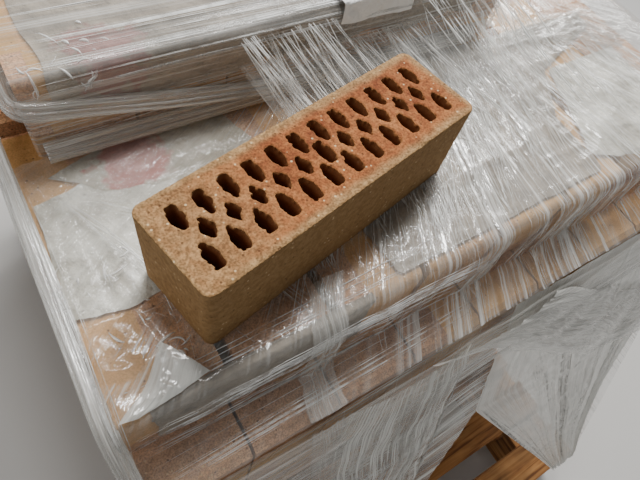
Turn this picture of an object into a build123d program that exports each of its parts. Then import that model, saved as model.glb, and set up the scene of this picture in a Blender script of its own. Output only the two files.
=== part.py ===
"""A part-used pallet of clay facing bricks in loosened stretch wrap, in millimetres.

Origin: centre of the pallet's underside. +X right, +Y to the back, +Z up.
"""

import os
from math import hypot

from build123d import *

# Brick: a perforated facing brick, its holes running through its width
brick_length = 285
brick_width = 85
brick_height = 85
brick_corner_radius = 8
deep_brick_chamfer = 6
brick_joint = 3

# Lattice of holes in the brick
hole_pitch = 22
hole_row_offset = 18
middle_hole_count = 11
middle_hole_length = 21.5
middle_hole_width = 11
side_hole_length = 21.5
side_hole_outer_width = 8
side_hole_waist_width = 10.5
side_hole_tip_width = 3.5
side_hole_waist_share = 0.55

# Pallet
pallet_length = 1200
pallet_width = 800
deck_board_count = 11
deck_board_width = 70
deck_board_thickness = 22
stringer_width = 100
stringer_thickness = 22
block_length = 100
block_width = 100
block_height = 78
bottom_board_width = 100
bottom_board_thickness = 22

# Stack: full courses, then a top course pushed back and a part course on it
full_course_count = 8
column_count = 9
row_count = 3
bare_deck_depth = 272
top_course_setback = 50
spread_brick_count = 6
spread_joint = 9
straggler_count = 2
straggler_gap = 18
straggler_setback = 16
part_course_setback = 245
part_course_left_inset = 26.5
part_course_column_count = 6
part_course_row_count = 2

# Loose brick on the wrap, from the top course's front left corner
loose_brick_right = 210
loose_brick_back = 96
loose_brick_turn = 13

# Soft sheets
paper_thickness = 1
film_thickness = 1.5
soft_gap = 0.3
hem_depth = 43
band_height = 72
band_drop = 12
rope_radius = 8
rope_length = 490
bundle_radius = 9
bundle_foot_rise = 50
window_peak = 617
window_peak_x = 2
window_foot_left = -276
window_foot_right = 330

# Torn sheets of paper on the top course: right and back from its front left corner
left_paper_corners = [(0, 108), (20, 185), (60, 190), (64, 160), (50, 92), (0, 106)]
pink_paper_corners = [(24, 230), (70, 241), (190, 236), (184, 200), (124, 188), (56, 198)]
right_paper_corners = [(541, 34), (589, 12), (690, 60), (700, 150), (591, 148)]
cover_paper_corners = [
    (290, 10), (530, 14), (535, 90), (580, 160), (700, 165), (710, 225), (300, 236), (262, 120)
]
apron_left = 22
apron_width = 200
apron_height = 78
roof_paper_inset = 12
roof_paper_width = 480
roof_paper_depth = 240
roof_paper_drop = 50
slip_inset = 288
slip_width = 90
slip_depth = 55
slip_drop = 24

# Levels and edges that follow from the sizes above
block_bottom = bottom_board_thickness
stringer_bottom = block_bottom + block_height
deck_bottom = stringer_bottom + stringer_thickness
deck_top = deck_bottom + deck_board_thickness
pallet_front = -pallet_length / 2
deck_gap = (pallet_length - deck_board_count * deck_board_width) / (deck_board_count - 1)

course_pitch_x = brick_width + brick_joint
course_pitch_y = brick_length + brick_joint
stack_width = column_count * course_pitch_x - brick_joint
stack_left = -stack_width / 2
stack_right = stack_width / 2
stack_front = pallet_front + bare_deck_depth
stack_back = stack_front + row_count * course_pitch_y - brick_joint
ledge_top = deck_top + full_course_count * brick_height

top_course_front = stack_front + top_course_setback
top_course_second_row = top_course_front + straggler_setback + course_pitch_y
top_course_back = top_course_second_row + (row_count - 1) * course_pitch_y - brick_joint
top_course_top = ledge_top + brick_height

part_course_front = top_course_front + part_course_setback
part_course_left = stack_left + part_course_left_inset
part_course_right = part_course_left + part_course_column_count * course_pitch_x - brick_joint
part_course_back = part_course_front + part_course_row_count * course_pitch_y - brick_joint
part_course_top = top_course_top + brick_height

paper_bottom = top_course_top + soft_gap
paper_room = soft_gap + paper_thickness + soft_gap
film_bottom = top_course_top + paper_room
film_top = film_bottom + film_thickness
hem_bottom = deck_top - hem_depth
film_front = pallet_front - soft_gap
film_back = max(pallet_length / 2, stack_back, top_course_back) + soft_gap
film_half_width = max(pallet_width, stack_width) / 2
ledge_film = stack_front - paper_room - film_thickness


def brick(chamfered=False):
    """One plain brick, its length along Y and its rounded edges along X, low corner at 0."""
    with BuildPart() as part:
        with BuildSketch(Plane.YZ) as face:
            Rectangle(brick_length, brick_height, align=(Align.MIN, Align.MIN))
            if chamfered:
                chamfer(face.vertices(), deep_brick_chamfer)
            else:
                fillet(face.vertices(), brick_corner_radius)
        extrude(amount=brick_width)
    return part.part


def course(level, left, front, wide, deep, pattern, joint=brick_joint):
    """Rows of bricks side by side at one level."""
    rows = []
    for row in range(deep):
        for column in range(wide):
            x = left + column * (brick_width + joint)
            y = front + row * course_pitch_y
            rows.append(Pos(x, y, level) * pattern)
    return rows


def full_course(number):
    """One of the full courses, counted from the deck."""
    level = deck_top + (number - 1) * brick_height
    return course(level, stack_left, stack_front, column_count, row_count, brick(chamfered=True))


def top_course():
    """The course pushed back from the ledge: its front row has spread apart."""
    pattern = brick()
    hidden = brick(chamfered=True)
    bricks = course(ledge_top, stack_left, top_course_front, spread_brick_count, 1, pattern, spread_joint)
    spread_right = stack_left + spread_brick_count * (brick_width + spread_joint) - spread_joint
    straggler_left = spread_right + straggler_gap
    straggler_front = top_course_front + straggler_setback
    for column in range(straggler_count):
        x = straggler_left + column * course_pitch_x
        bricks.append(Pos(x, straggler_front, ledge_top) * pattern)
    bricks += course(ledge_top, stack_left, top_course_second_row, column_count, row_count - 1, hidden)
    return bricks


def part_course():
    """The rows left on top of the stack."""
    bricks = []
    for row in range(part_course_row_count):
        front = part_course_front + row * course_pitch_y
        pattern = brick(chamfered=row > 0)
        bricks += course(top_course_top, part_course_left, front, part_course_column_count, 1, pattern)
    return bricks


def middle_hole():
    """Outline of a hole of the middle row: a rhombus across the brick."""
    half_length = middle_hole_length / 2
    half_width = middle_hole_width / 2
    return Polygon((0, -half_length), (half_width, 0), (0, half_length), (-half_width, 0), align=None)


def side_hole(side):
    """Outline of a hole of an outer row: blunt outside, pointed to the middle; side is 1 or -1."""
    outer = side * side_hole_length / 2
    waist = outer - side * side_hole_length * side_hole_waist_share
    half_outer = side_hole_outer_width / 2
    half_waist = side_hole_waist_width / 2
    half_tip = side_hole_tip_width / 2
    right = [(half_outer, outer), (half_waist, waist), (half_tip, -outer)]
    left = [(-x, y) for x, y in reversed(right)]
    return Polygon(*right, *left, align=None)


def loose_brick():
    """The perforated brick: the lattice of holes has a middle row set between two side rows."""
    side_holes = middle_hole_count + 1
    with BuildPart() as part:
        with BuildSketch() as face:
            Rectangle(brick_length, brick_width)
            fillet(face.vertices(), brick_corner_radius)
        extrude(amount=brick_height)
        with BuildSketch(Plane.XY):
            for number in range(middle_hole_count):
                x = (number - (middle_hole_count - 1) / 2) * hole_pitch
                add(Pos(x, 0) * middle_hole())
            for side in (1, -1):
                for number in range(side_holes):
                    x = (number - (side_holes - 1) / 2) * hole_pitch
                    add(Pos(x, side * hole_row_offset) * side_hole(side))
        extrude(amount=brick_height, mode=Mode.SUBTRACT)
    place = Pos(
        stack_left + loose_brick_right, top_course_front + loose_brick_back, film_top + soft_gap
    )
    return place * Rot(0, 0, loose_brick_turn) * part.part


def deck_board(number):
    """One deck board across the pallet, counted from the front."""
    y = pallet_front + (number - 1) * (deck_board_width + deck_gap)
    board = Box(
        pallet_width, deck_board_width, deck_board_thickness, align=(Align.CENTER, Align.MIN, Align.MIN)
    )
    return Pos(0, y, deck_bottom) * board


def row_x(place, width):
    """Centre of the left, middle or right row of boards and blocks; place is -1, 0 or 1."""
    return place * (pallet_width - width) / 2


def stringer(place):
    """A board under the deck, along the pallet."""
    board = Box(
        stringer_width, pallet_length, stringer_thickness, align=(Align.CENTER, Align.CENTER, Align.MIN)
    )
    return Pos(row_x(place, stringer_width), 0, stringer_bottom) * board


def block(place, row):
    """A block between a stringer and its bottom board; row is -1, 0 or 1 from the front."""
    body = Box(block_width, block_length, block_height, align=(Align.CENTER, Align.CENTER, Align.MIN))
    y = row * (pallet_length - block_length) / 2
    return Pos(row_x(place, block_width), y, block_bottom) * body


def bottom_board(place):
    """A board on the floor, along the pallet."""
    board = Box(
        bottom_board_width,
        pallet_length,
        bottom_board_thickness,
        align=(Align.CENTER, Align.CENTER, Align.MIN),
    )
    return Pos(row_x(place, bottom_board_width), 0, 0) * board


def prism(plane, outline, amount, offset=0):
    """A flat outline made into a solid along the plane's normal."""
    return extrude(plane.offset(offset) * Polygon(*outline, align=None), amount=amount, dir=plane.z_dir)


def profile_sheet(inner, outer, left, right):
    """A sheet that keeps one section in the YZ plane, from left to right."""
    return prism(Plane.YZ, inner + outer[::-1], right - left, left)


def paper(outline, level=paper_bottom):
    """A sheet of paper lying on the top course."""
    return prism(Plane.XY, outline, paper_thickness, level)


def from_corner(points):
    """Points measured right and back from the top course's front left corner."""
    return [(stack_left + right, top_course_front + back) for right, back in points]


def paper_apron():
    """The grey sheet that hangs over the top course's front face."""
    sheet = Box(apron_width, paper_thickness, apron_height, align=(Align.MIN, Align.MAX, Align.MAX))
    return Pos(stack_left + apron_left, top_course_front - soft_gap, top_course_top) * sheet


def front_section():
    """Inner and outer line of the front wrap: down a slope to the pallet's edge, then its hem."""
    inner = [
        (ledge_film + film_thickness, ledge_top),
        (film_front, deck_top),
        (film_front, hem_bottom),
    ]
    outer = [(y - film_thickness, z) for y, z in inner]
    return inner, outer


def front_wrap(outline):
    """The part of the sloping front wrap that lies behind an outline in X and Z."""
    inner, outer = front_section()
    whole = profile_sheet(inner, outer, -film_half_width, film_half_width)
    reach = pallet_length
    cutter = prism(Plane.XZ, outline, 2 * reach, -reach)
    return whole & cutter


def window_edge(level):
    """Left and right edge of the window in the front wrap at a level, which meet at its peak."""
    share = (window_peak - level) / (window_peak - deck_top)
    left = window_peak_x - (window_peak_x - window_foot_left) * share
    right = window_peak_x + (window_foot_right - window_peak_x) * share
    return left, right


def wrap_front():
    """Front wrap left of the window that shows the deck."""
    seam = window_peak_x - soft_gap
    foot = window_edge(hem_bottom)[0]
    outline = [
        (-film_half_width, hem_bottom),
        (foot, hem_bottom),
        (seam, window_peak),
        (seam, ledge_top),
        (-film_half_width, ledge_top),
    ]
    return front_wrap(outline)


def wrap_fan():
    """Front wrap right of the window, drawn down to the pallet's front right corner."""
    seam = window_peak_x + soft_gap
    foot = window_edge(hem_bottom)[1]
    outline = [
        (foot, hem_bottom),
        (film_half_width, hem_bottom),
        (film_half_width, ledge_top),
        (seam, ledge_top),
        (seam, window_peak),
    ]
    return front_wrap(outline)


def wrap_top():
    """Wrap over the top course in front of the part course, and down to the ledge."""
    back = part_course_front - paper_room - film_thickness - soft_gap
    bend = top_course_front - paper_room
    inner = [(back, film_bottom), (bend, film_bottom), (ledge_film + film_thickness, ledge_top + soft_gap)]
    outer = [(back, film_top), (bend - film_thickness, film_top), (ledge_film, ledge_top + soft_gap)]
    return profile_sheet(inner, outer, stack_left, stack_right)


def wrap_top_right():
    """Wrap over the top course to the right of the part course."""
    left = part_course_right + paper_room + film_thickness + soft_gap
    front = part_course_front - paper_room - film_thickness
    outline = [(left, front), (stack_right, front), (stack_right, top_course_back), (left, top_course_back)]
    return prism(Plane.XY, outline, film_thickness, film_bottom)


def wrap_upper():
    """Wrap up the front of the part course, over it and down its back."""
    front = part_course_front - paper_room
    back = part_course_back + paper_room
    foot = film_top + soft_gap
    roof = part_course_top + paper_room
    inner = [(front, foot), (front, roof), (back, roof), (back, foot)]
    outer = [
        (front - film_thickness, foot),
        (front - film_thickness, roof + film_thickness),
        (back + film_thickness, roof + film_thickness),
        (back + film_thickness, foot),
    ]
    return profile_sheet(inner, outer, part_course_left, part_course_right)


def side_wrap(side):
    """Wrap down the left or right side of the load; side is -1 or 1."""
    outline = [
        (film_front, hem_bottom),
        (film_back, hem_bottom),
        (film_back, deck_top),
        (top_course_back, film_top),
        (top_course_front, film_top),
        (ledge_film, ledge_top),
        (film_front, deck_top),
    ]
    inside = side * (film_half_width + soft_gap)
    low = min(inside, inside + side * film_thickness)
    return prism(Plane.YZ, outline, film_thickness, low)


def wrap_back():
    """Wrap from the top course's back edge down to the pallet's back edge, and its hem."""
    inner = [(film_back, hem_bottom), (film_back, deck_top), (top_course_back + soft_gap, top_course_top)]
    outer = [(y + film_thickness, z) for y, z in inner]
    return profile_sheet(inner, outer, -film_half_width, film_half_width)


def wrap_band():
    """The tight band of wrap round the front of the course under the ledge."""
    body = Box(stack_width, film_thickness, band_height, align=(Align.CENTER, Align.MAX, Align.MAX))
    return Pos(0, stack_front - soft_gap, ledge_top - band_drop) * body


def wrap_rope():
    """Wrap gathered into a rope along the foot of the part course."""
    y = part_course_front - paper_room - film_thickness - soft_gap - rope_radius
    z = film_top + soft_gap + rope_radius
    rope = Cylinder(
        rope_radius, rope_length, rotation=(0, 90, 0), align=(Align.CENTER, Align.CENTER, Align.MIN)
    )
    return Pos(part_course_left, y, z) * rope


def wrap_bundle():
    """Wrap gathered into a rope down the left edge of the front wrap."""
    inner, outer = front_section()
    (y_top, z_top), (y_foot, z_foot) = outer[0], outer[1]
    slope_length = hypot(y_top - y_foot, z_top - z_foot)
    out_y = -(z_top - z_foot) / slope_length
    out_z = (y_top - y_foot) / slope_length
    lift = bundle_radius + soft_gap
    x = -film_half_width + bundle_radius
    rise = bundle_foot_rise / (z_top - z_foot)
    y_low = y_foot + (y_top - y_foot) * rise
    foot = Vector(x, y_low + out_y * lift, z_foot + bundle_foot_rise + out_z * lift)
    top = Vector(x, y_top + out_y * lift, z_top + out_z * lift)
    axis = Plane(origin=foot, z_dir=top - foot)
    height = (top - foot).length
    return axis * Cylinder(bundle_radius, height, align=(Align.CENTER, Align.CENTER, Align.MIN))


def folded_paper(front, roof, depth, drop, left, width):
    """A sheet of paper that lies on a roof and hangs over its front edge."""
    inner = [(front, roof - drop), (front, roof), (front + depth, roof)]
    outer = [
        (front - paper_thickness, roof - drop),
        (front - paper_thickness, roof + paper_thickness),
        (front + depth, roof + paper_thickness),
    ]
    return profile_sheet(inner, outer, left, left + width)


def paper_roof():
    """The sheet over the part course, under the wrap."""
    front = part_course_front - soft_gap
    roof = part_course_top + soft_gap
    left = part_course_left + roof_paper_inset
    return folded_paper(front, roof, roof_paper_depth, roof_paper_drop, left, roof_paper_width)


def paper_slip():
    """The small blank slip on the wrap, folded over the part course's front edge."""
    lift = paper_room + film_thickness + soft_gap
    left = part_course_left + slip_inset
    return folded_paper(
        part_course_front - lift, part_course_top + lift, slip_depth, slip_drop, left, slip_width
    )


def papers():
    """Sheets of packing paper, most of them under the wrap."""
    return {
        "paper_left": paper(from_corner(left_paper_corners)),
        "paper_pink": paper(from_corner(pink_paper_corners)),
        "paper_right": paper(from_corner(right_paper_corners)),
        "paper_cover": paper(from_corner(cover_paper_corners)),
        "paper_roof": paper_roof(),
        "paper_slip": paper_slip(),
        "paper_apron": paper_apron(),
    }


def pallet():
    """Every piece of the pallet by name."""
    pieces = {}
    for number in range(1, deck_board_count + 1):
        pieces[f"deck_board_{number:02d}"] = deck_board(number)
    for side, place in (("left", -1), ("middle", 0), ("right", 1)):
        pieces[f"stringer_{side}"] = stringer(place)
        pieces[f"bottom_board_{side}"] = bottom_board(place)
        for number, row in enumerate((-1, 0, 1), start=1):
            pieces[f"block_{number}_{side}"] = block(place, row)
    return pieces


def stack():
    """Every course of bricks by name."""
    courses = {}
    for number in range(1, full_course_count + 1):
        courses[f"brick_course_{number:02d}"] = full_course(number)
    courses[f"brick_course_{full_course_count + 1:02d}"] = top_course()
    courses[f"brick_course_{full_course_count + 2:02d}"] = part_course()
    return {name: Compound(children=bricks) for name, bricks in courses.items()}


def wrap():
    """Every stretch of wrap by name."""
    return {
        "wrap_top": wrap_top(),
        "wrap_top_right": wrap_top_right(),
        "wrap_upper": wrap_upper(),
        "wrap_left": side_wrap(-1),
        "wrap_right": side_wrap(1),
        "wrap_back": wrap_back(),
        "wrap_front": wrap_front(),
        "wrap_fan": wrap_fan(),
        "wrap_band": wrap_band(),
        "wrap_rope": wrap_rope(),
        "wrap_bundle": wrap_bundle(),
    }


nodes = pallet() | stack() | {"loose_brick": loose_brick()} | papers() | wrap()
os.makedirs("parts", exist_ok=True)
for name, shape in nodes.items():
    export_step(shape, f"parts/{name}.step")
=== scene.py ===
"""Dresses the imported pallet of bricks: fired clay, sawn pine, packing paper and stretch wrap.

Metres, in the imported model's frame: X right, Y to the back, Z up, the pallet's underside at 0.
"""

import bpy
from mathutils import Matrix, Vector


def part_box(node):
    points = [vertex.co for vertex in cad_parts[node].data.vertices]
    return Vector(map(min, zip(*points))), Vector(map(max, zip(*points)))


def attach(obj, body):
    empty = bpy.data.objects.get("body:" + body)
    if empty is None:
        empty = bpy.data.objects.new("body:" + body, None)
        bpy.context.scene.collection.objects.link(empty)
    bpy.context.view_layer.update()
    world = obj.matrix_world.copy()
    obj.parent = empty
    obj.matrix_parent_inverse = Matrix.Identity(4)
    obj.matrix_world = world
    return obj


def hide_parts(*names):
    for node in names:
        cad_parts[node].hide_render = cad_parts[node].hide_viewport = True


bl_info = {
    "name": "Wrapped pallet of bricks",
    "version": (1, 0, 0),
    "blender": (4, 5, 0),
    "location": "View3D > Sidebar > Brick pallet",
    "description": "Finishes a part-used pallet of facing bricks in loosened stretch wrap",
    "category": "Object",
}

from math import pi, radians, tau

import bmesh
import bpy
import numpy as np
from mathutils import Matrix, Vector

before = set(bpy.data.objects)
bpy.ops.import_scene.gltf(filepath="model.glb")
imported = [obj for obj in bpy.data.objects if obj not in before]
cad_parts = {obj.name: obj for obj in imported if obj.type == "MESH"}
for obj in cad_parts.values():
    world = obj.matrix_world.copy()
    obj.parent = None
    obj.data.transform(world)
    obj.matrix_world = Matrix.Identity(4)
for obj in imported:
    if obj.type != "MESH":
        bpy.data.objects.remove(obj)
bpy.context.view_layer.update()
MM = 0.001

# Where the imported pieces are
TIER_LOW, TIER_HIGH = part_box("brick_course_09")
LEDGE_LOW, LEDGE_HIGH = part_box("brick_course_08")
PART_LOW, PART_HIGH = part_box("brick_course_10")
LOOSE_LOW, LOOSE_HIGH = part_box("loose_brick")
BOARD_LOW, BOARD_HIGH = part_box("deck_board_01")
ROPE_LOW, ROPE_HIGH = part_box("wrap_rope")
BUNDLE_LOW, BUNDLE_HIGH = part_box("wrap_bundle")
SLIP_LOW, SLIP_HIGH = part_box("paper_slip")
TOP_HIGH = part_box("wrap_top")[1]
FAN_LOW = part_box("wrap_fan")[0]

TIER_TOP = TIER_HIGH.z
TIER_FRONT = TIER_LOW.y
LEDGE_TOP = LEDGE_HIGH.z
LEDGE_FRONT = LEDGE_LOW.y
PALLET_FRONT = BOARD_LOW.y
DECK_TOP = BOARD_HIGH.z
HALF_WIDTH = BOARD_HIGH.x
WRAP_LEVEL = TOP_HIGH.z
HEM_LEVEL = FAN_LOW.z

# The photograph's viewpoint, from a camera fitted to the loose brick's edges
PHOTO_EYE = Vector((-0.364, -0.379, 1.294))
PHOTO_RIGHT = Vector((0.8500, -0.5034, 0.1551))
PHOTO_FORWARD = Vector((0.3855, 0.3741, -0.8437))
PHOTO_WIDTH_PX = 640
PHOTO_FOCAL_PX = 520
SENSOR_WIDTH_MM = 36

# Bricks: the loose one's turn and size, and the pitch at which the stacked ones change their shade
BRICK_TURN = radians(13)
BRICK_SIZE = Vector((285, 85, 85)) * MM
BRICK_PITCH = Vector((88, 288, 85)) * MM
BOARD_PITCH_ACROSS = Vector((2, 0.113, 2))
BOARD_PITCH_ALONG = Vector((0.35, 2, 2))

# How the wrap is pulled: the apex that its lines part from, how far from it their spacing is read, and the
# knot at the part course's corner
PULL_APEX = Vector((100, 170, 0)) * MM
PULL_READ_AT = 0.3
KNOT = Vector((-372, -75, 0)) * MM
TOP_RUN = float(TOP_HIGH.y - TIER_FRONT)
APEX_RUN = float(PULL_APEX.y - TOP_HIGH.y)
FRONT_RUN = float(np.hypot(PALLET_FRONT - LEDGE_FRONT, LEDGE_TOP - DECK_TOP))

# The three-cornered window in the front wrap that shows the deck
WINDOW_PEAK = Vector((FAN_LOW.x, 0, 617 * MM))
WINDOW_FOOT_LEFT = -276 * MM
WINDOW_FOOT_RIGHT = 330 * MM

# The oval at the front left where the wrap clings to a brick
CLING_AT = Vector((-374, -242, 0)) * MM
CLING_REACH = Vector((17, 10, 0)) * MM

# The bridge from the part course's front edge down to the top
BRIDGE_LEFT = -0.185
BRIDGE_DROP = 32 * MM
BRIDGE_RUN = 0.115

# How far the upper wrap is folded round each end of the part course, and the mean depth of a side of the load
END_FOLD = 34 * MM
SIDE_DEPTH = 1.05

PATH_SAMPLES = 3000
DRAPE_SAMPLES = 700


# Numbers that vary smoothly

def cell_random(cells, seed):
    """A steady random number from 0 to 1 for each row of whole numbers."""
    mask = np.uint64(0xFFFFFFFF)
    mixed = np.full(cells.shape[:-1], (seed * 668265263) & 0xFFFFFFFF, dtype=np.uint64)
    for axis in range(cells.shape[-1]):
        mixed = (mixed ^ cells[..., axis].astype(np.int64).astype(np.uint64)) & mask
        mixed = (mixed * np.uint64(2654435761)) & mask
        mixed ^= mixed >> np.uint64(13)
    mixed = (mixed * np.uint64(2246822519)) & mask
    return ((mixed ^ (mixed >> np.uint64(16))) & mask).astype(float) / float(mask)


def smooth_noise(places, seed):
    """Value noise from -1 to 1 at each row of places, with a lattice step of 1."""
    low = np.floor(places)
    share = places - low
    share = share * share * (3 - 2 * share)
    low = low.astype(np.int64)
    dimensions = places.shape[-1]
    total = np.zeros(places.shape[:-1])
    for corner in range(2 ** dimensions):
        step = np.array([(corner >> axis) & 1 for axis in range(dimensions)])
        weight = np.prod(np.where(step == 1, share, 1 - share), axis=-1)
        total += weight * cell_random(low + step, seed)
    return total * 2 - 1


def layered_noise(places, layers, seed):
    """Smooth noise with finer and fainter layers on it, about -1 to 1."""
    total = np.zeros(places.shape[:-1])
    for layer in range(layers):
        total += smooth_noise(places * 2 ** layer, seed + layer) / 2 ** layer
    return total / 1.6


def columns_of(*axes):
    """Rows of places from one array or number for each axis."""
    return np.stack(np.broadcast_arrays(*axes), -1)


def noise(seed, *axes):
    """Smooth noise at places given by one array or number for each axis."""
    return smooth_noise(columns_of(*axes), seed)


def creases(along, across, length, width, seed):
    """Sharp-crested ridges of a stretched film, 0 to 1: long along the pull, narrow across it."""
    return (1 - np.abs(noise(seed, along / length, across / width))) ** 3


def pull_line(along, across):
    """Which line of the pull a place is on, as the distance across the pull at PULL_READ_AT from its apex."""
    return PULL_READ_AT * (across - PULL_APEX.x) / (along + APEX_RUN)


def blend(value, low, high):
    """0 at low and beyond it, 1 at high and beyond it, smooth between them; low may be the larger."""
    share = np.clip((value - low) / (high - low), 0, 1)
    return share * share * (3 - 2 * share)


# Meshes

def net(rows, columns, down=(0, 1), over=(0, 1)):
    """Two grids of evenly spaced values, one that changes from row to row and one from column to column."""
    return np.meshgrid(np.linspace(*down, rows), np.linspace(*over, columns), indexing="ij")


def set_attribute(mesh, name, values):
    """Gives each vertex of a mesh a number that its material or its nodes read."""
    mesh.attributes.new(name, "FLOAT", "POINT").data.foreach_set("value", values)


def grid_mesh(name, points, pattern, milk=None):
    """A mesh through a grid of points; its UV map is in metres, and milk says how cloudy the wrap is."""
    rows, columns = points.shape[:2]
    index = np.arange(rows * columns).reshape(rows, columns)
    quads = np.stack((index[:-1, :-1], index[1:, :-1], index[1:, 1:], index[:-1, 1:]), -1).reshape(-1, 4)
    mesh = bpy.data.meshes.new(name)
    mesh.from_pydata(points.reshape(-1, 3).tolist(), [], quads.tolist())
    layer = mesh.uv_layers.new(name="pattern")
    layer.data.foreach_set("uv", pattern.reshape(-1, 2)[quads.ravel()].ravel())
    if milk is not None:
        set_attribute(mesh, "milk", np.broadcast_to(milk, (rows, columns)).ravel())
    mesh.shade_smooth()
    return mesh


def facing(mesh, outward):
    """Turns an open sheet's faces so that most of them look outward."""
    mesh.update()
    normals = np.zeros(len(mesh.polygons) * 3)
    mesh.polygons.foreach_get("normal", normals)
    if float(normals.reshape(-1, 3).mean(0) @ np.array(outward)) < 0:
        mesh.flip_normals()
    return mesh


def merge_doubles(source, target, distance=0.001 * MM, closed=False):
    """Merges the doubled vertices of one mesh into another; a closed piece also gets its ends capped."""
    shape = bmesh.new()
    shape.from_mesh(source)
    bmesh.ops.remove_doubles(shape, verts=shape.verts, dist=distance)
    if closed:
        ends = [edge for edge in shape.edges if edge.is_boundary]
        bmesh.ops.holes_fill(shape, edges=ends, sides=0)
        bmesh.ops.recalc_face_normals(shape, faces=shape.faces)
    shape.to_mesh(target)
    shape.free()
    return target


def linked(name, data):
    """A new object of the scene that holds a mesh, a light or a camera."""
    thing = bpy.data.objects.new(name, data)
    bpy.context.scene.collection.objects.link(thing)
    return thing


def show(name, mesh, material):
    """A finished piece at the origin, riding on the pallet."""
    piece = linked(name, mesh)
    mesh.materials.clear()
    mesh.materials.append(material)
    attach(piece, "root")
    return piece


def made_plain(holder):
    """The plain mesh that an object's modifiers make of it; the object is then removed."""
    graph = bpy.context.evaluated_depsgraph_get()
    mesh = bpy.data.meshes.new_from_object(holder.evaluated_get(graph))
    bpy.data.objects.remove(holder)
    return mesh


def path_places(corners, count, radius):
    """Evenly spaced places along a path of straight runs, eased round its corners, and their run."""
    corners = np.array(corners, float)
    axes = range(corners.shape[1])
    runs = np.linalg.norm(np.diff(corners, axis=0), axis=1)
    ends = np.concatenate([[0], np.cumsum(runs)])
    fine = np.linspace(0, ends[-1], PATH_SAMPLES)
    places = np.stack([np.interp(fine, ends, corners[:, axis]) for axis in axes], -1)
    reach = max(1, int(radius / (fine[1] - fine[0])))
    window = np.hanning(2 * reach + 3)[1:-1]
    window /= window.sum()
    padded = np.pad(places, ((reach, reach), (0, 0)), mode="edge")
    eased = np.stack([np.convolve(padded[:, axis], window, "valid") for axis in axes], -1)
    steps = np.concatenate([[0], np.cumsum(np.linalg.norm(np.diff(eased, axis=0), axis=1))])
    even = np.linspace(0, steps[-1], count)
    return np.stack([np.interp(even, steps, eased[:, axis]) for axis in axes], -1), even


class Drape:
    """A surface that keeps one eased section in Y and Z, with relief standing out from it."""

    def __init__(self, corners, ease, relief):
        self.path, self.run = path_places(corners, DRAPE_SAMPLES, ease)
        tangent = np.gradient(self.path, axis=0)
        tangent /= np.linalg.norm(tangent, axis=1, keepdims=True)
        self.out = np.stack([tangent[:, 1], -tangent[:, 0]], -1)
        self.relief = relief
        self.length = float(self.run[-1])

    def section(self, along, values):
        """Values kept along the section, at the given runs along it."""
        return np.interp(along, self.run, values)

    def level(self, along):
        """The height of the section at a run along it."""
        return self.section(along, self.path[:, 1])

    def place(self, along, across, lift=0.0):
        """The place at a run along the section and a distance across it."""
        y, z = self.section(along, self.path[:, 0]), self.level(along)
        height = self.relief(across, y, along) + lift
        out_y, out_z = self.section(along, self.out[:, 0]), self.section(along, self.out[:, 1])
        return columns_of(across, y + out_y * height, z + out_z * height)


# Creases of the wrap

def strand_tree():
    """Geometry nodes that sweep a small three-sided crease along each line of a mesh of edges."""
    tree = bpy.data.node_groups.new("wrap_creases", "GeometryNodeTree")
    for label, way, kind in (
        ("Lines", "INPUT", "NodeSocketGeometry"),
        ("Crease radius", "INPUT", "NodeSocketFloat"),
        ("Film", "INPUT", "NodeSocketMaterial"),
        ("Creases", "OUTPUT", "NodeSocketGeometry"),
    ):
        tree.interface.new_socket(label, in_out=way, socket_type=kind)
    given = add_node(tree, "NodeGroupInput").node.outputs
    girth = add_node(tree, "GeometryNodeInputNamedAttribute", {"Name": "girth"}, data_type="FLOAT")
    scales = {0: given["Crease radius"], 1: girth}
    radius = add_node(tree, "ShaderNodeMath", scales, operation="MULTIPLY")
    lines = add_node(tree, "GeometryNodeMeshToCurve", {"Mesh": given["Lines"]})
    section = add_node(tree, "GeometryNodeCurvePrimitiveCircle", {"Resolution": 3, "Radius": 1.0})
    sweep = {"Curve": lines, "Profile Curve": section, "Scale": radius, "Fill Caps": True}
    swept = add_node(tree, "GeometryNodeCurveToMesh", sweep)
    real = add_node(tree, "GeometryNodeRealizeInstances", {"Geometry": swept})
    finish = {"Geometry": real, "Material": given["Film"]}
    film = add_node(tree, "GeometryNodeSetMaterial", finish)
    add_node(tree, "NodeGroupOutput", {"Creases": film})
    return tree


def crease_mesh(name, lines, girths, radius, film):
    """Raised creases of the wrap along a set of lines, each an array of places."""
    places, edges, start = np.concatenate(lines), [], 0
    for line in lines:
        edges += [(start + step, start + step + 1) for step in range(len(line) - 1)]
        start += len(line)
    wire = bpy.data.meshes.new(name)
    wire.from_pydata(places.tolist(), edges, [])
    set_attribute(wire, "girth", np.concatenate(girths))
    holder = linked(name, wire)
    modifier = holder.modifiers.new("creases", "NODES")
    modifier.node_group = bpy.data.node_groups.get("wrap_creases") or strand_tree()
    given = {"Crease radius": radius, "Film": film}
    for item in modifier.node_group.interface.items_tree:
        if item.in_out == "INPUT" and item.name in given:
            modifier[item.identifier] = given[item.name]
    mesh = made_plain(holder)
    bpy.data.meshes.remove(wire)
    mesh.name = name
    mesh.shade_smooth()
    return mesh


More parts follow.
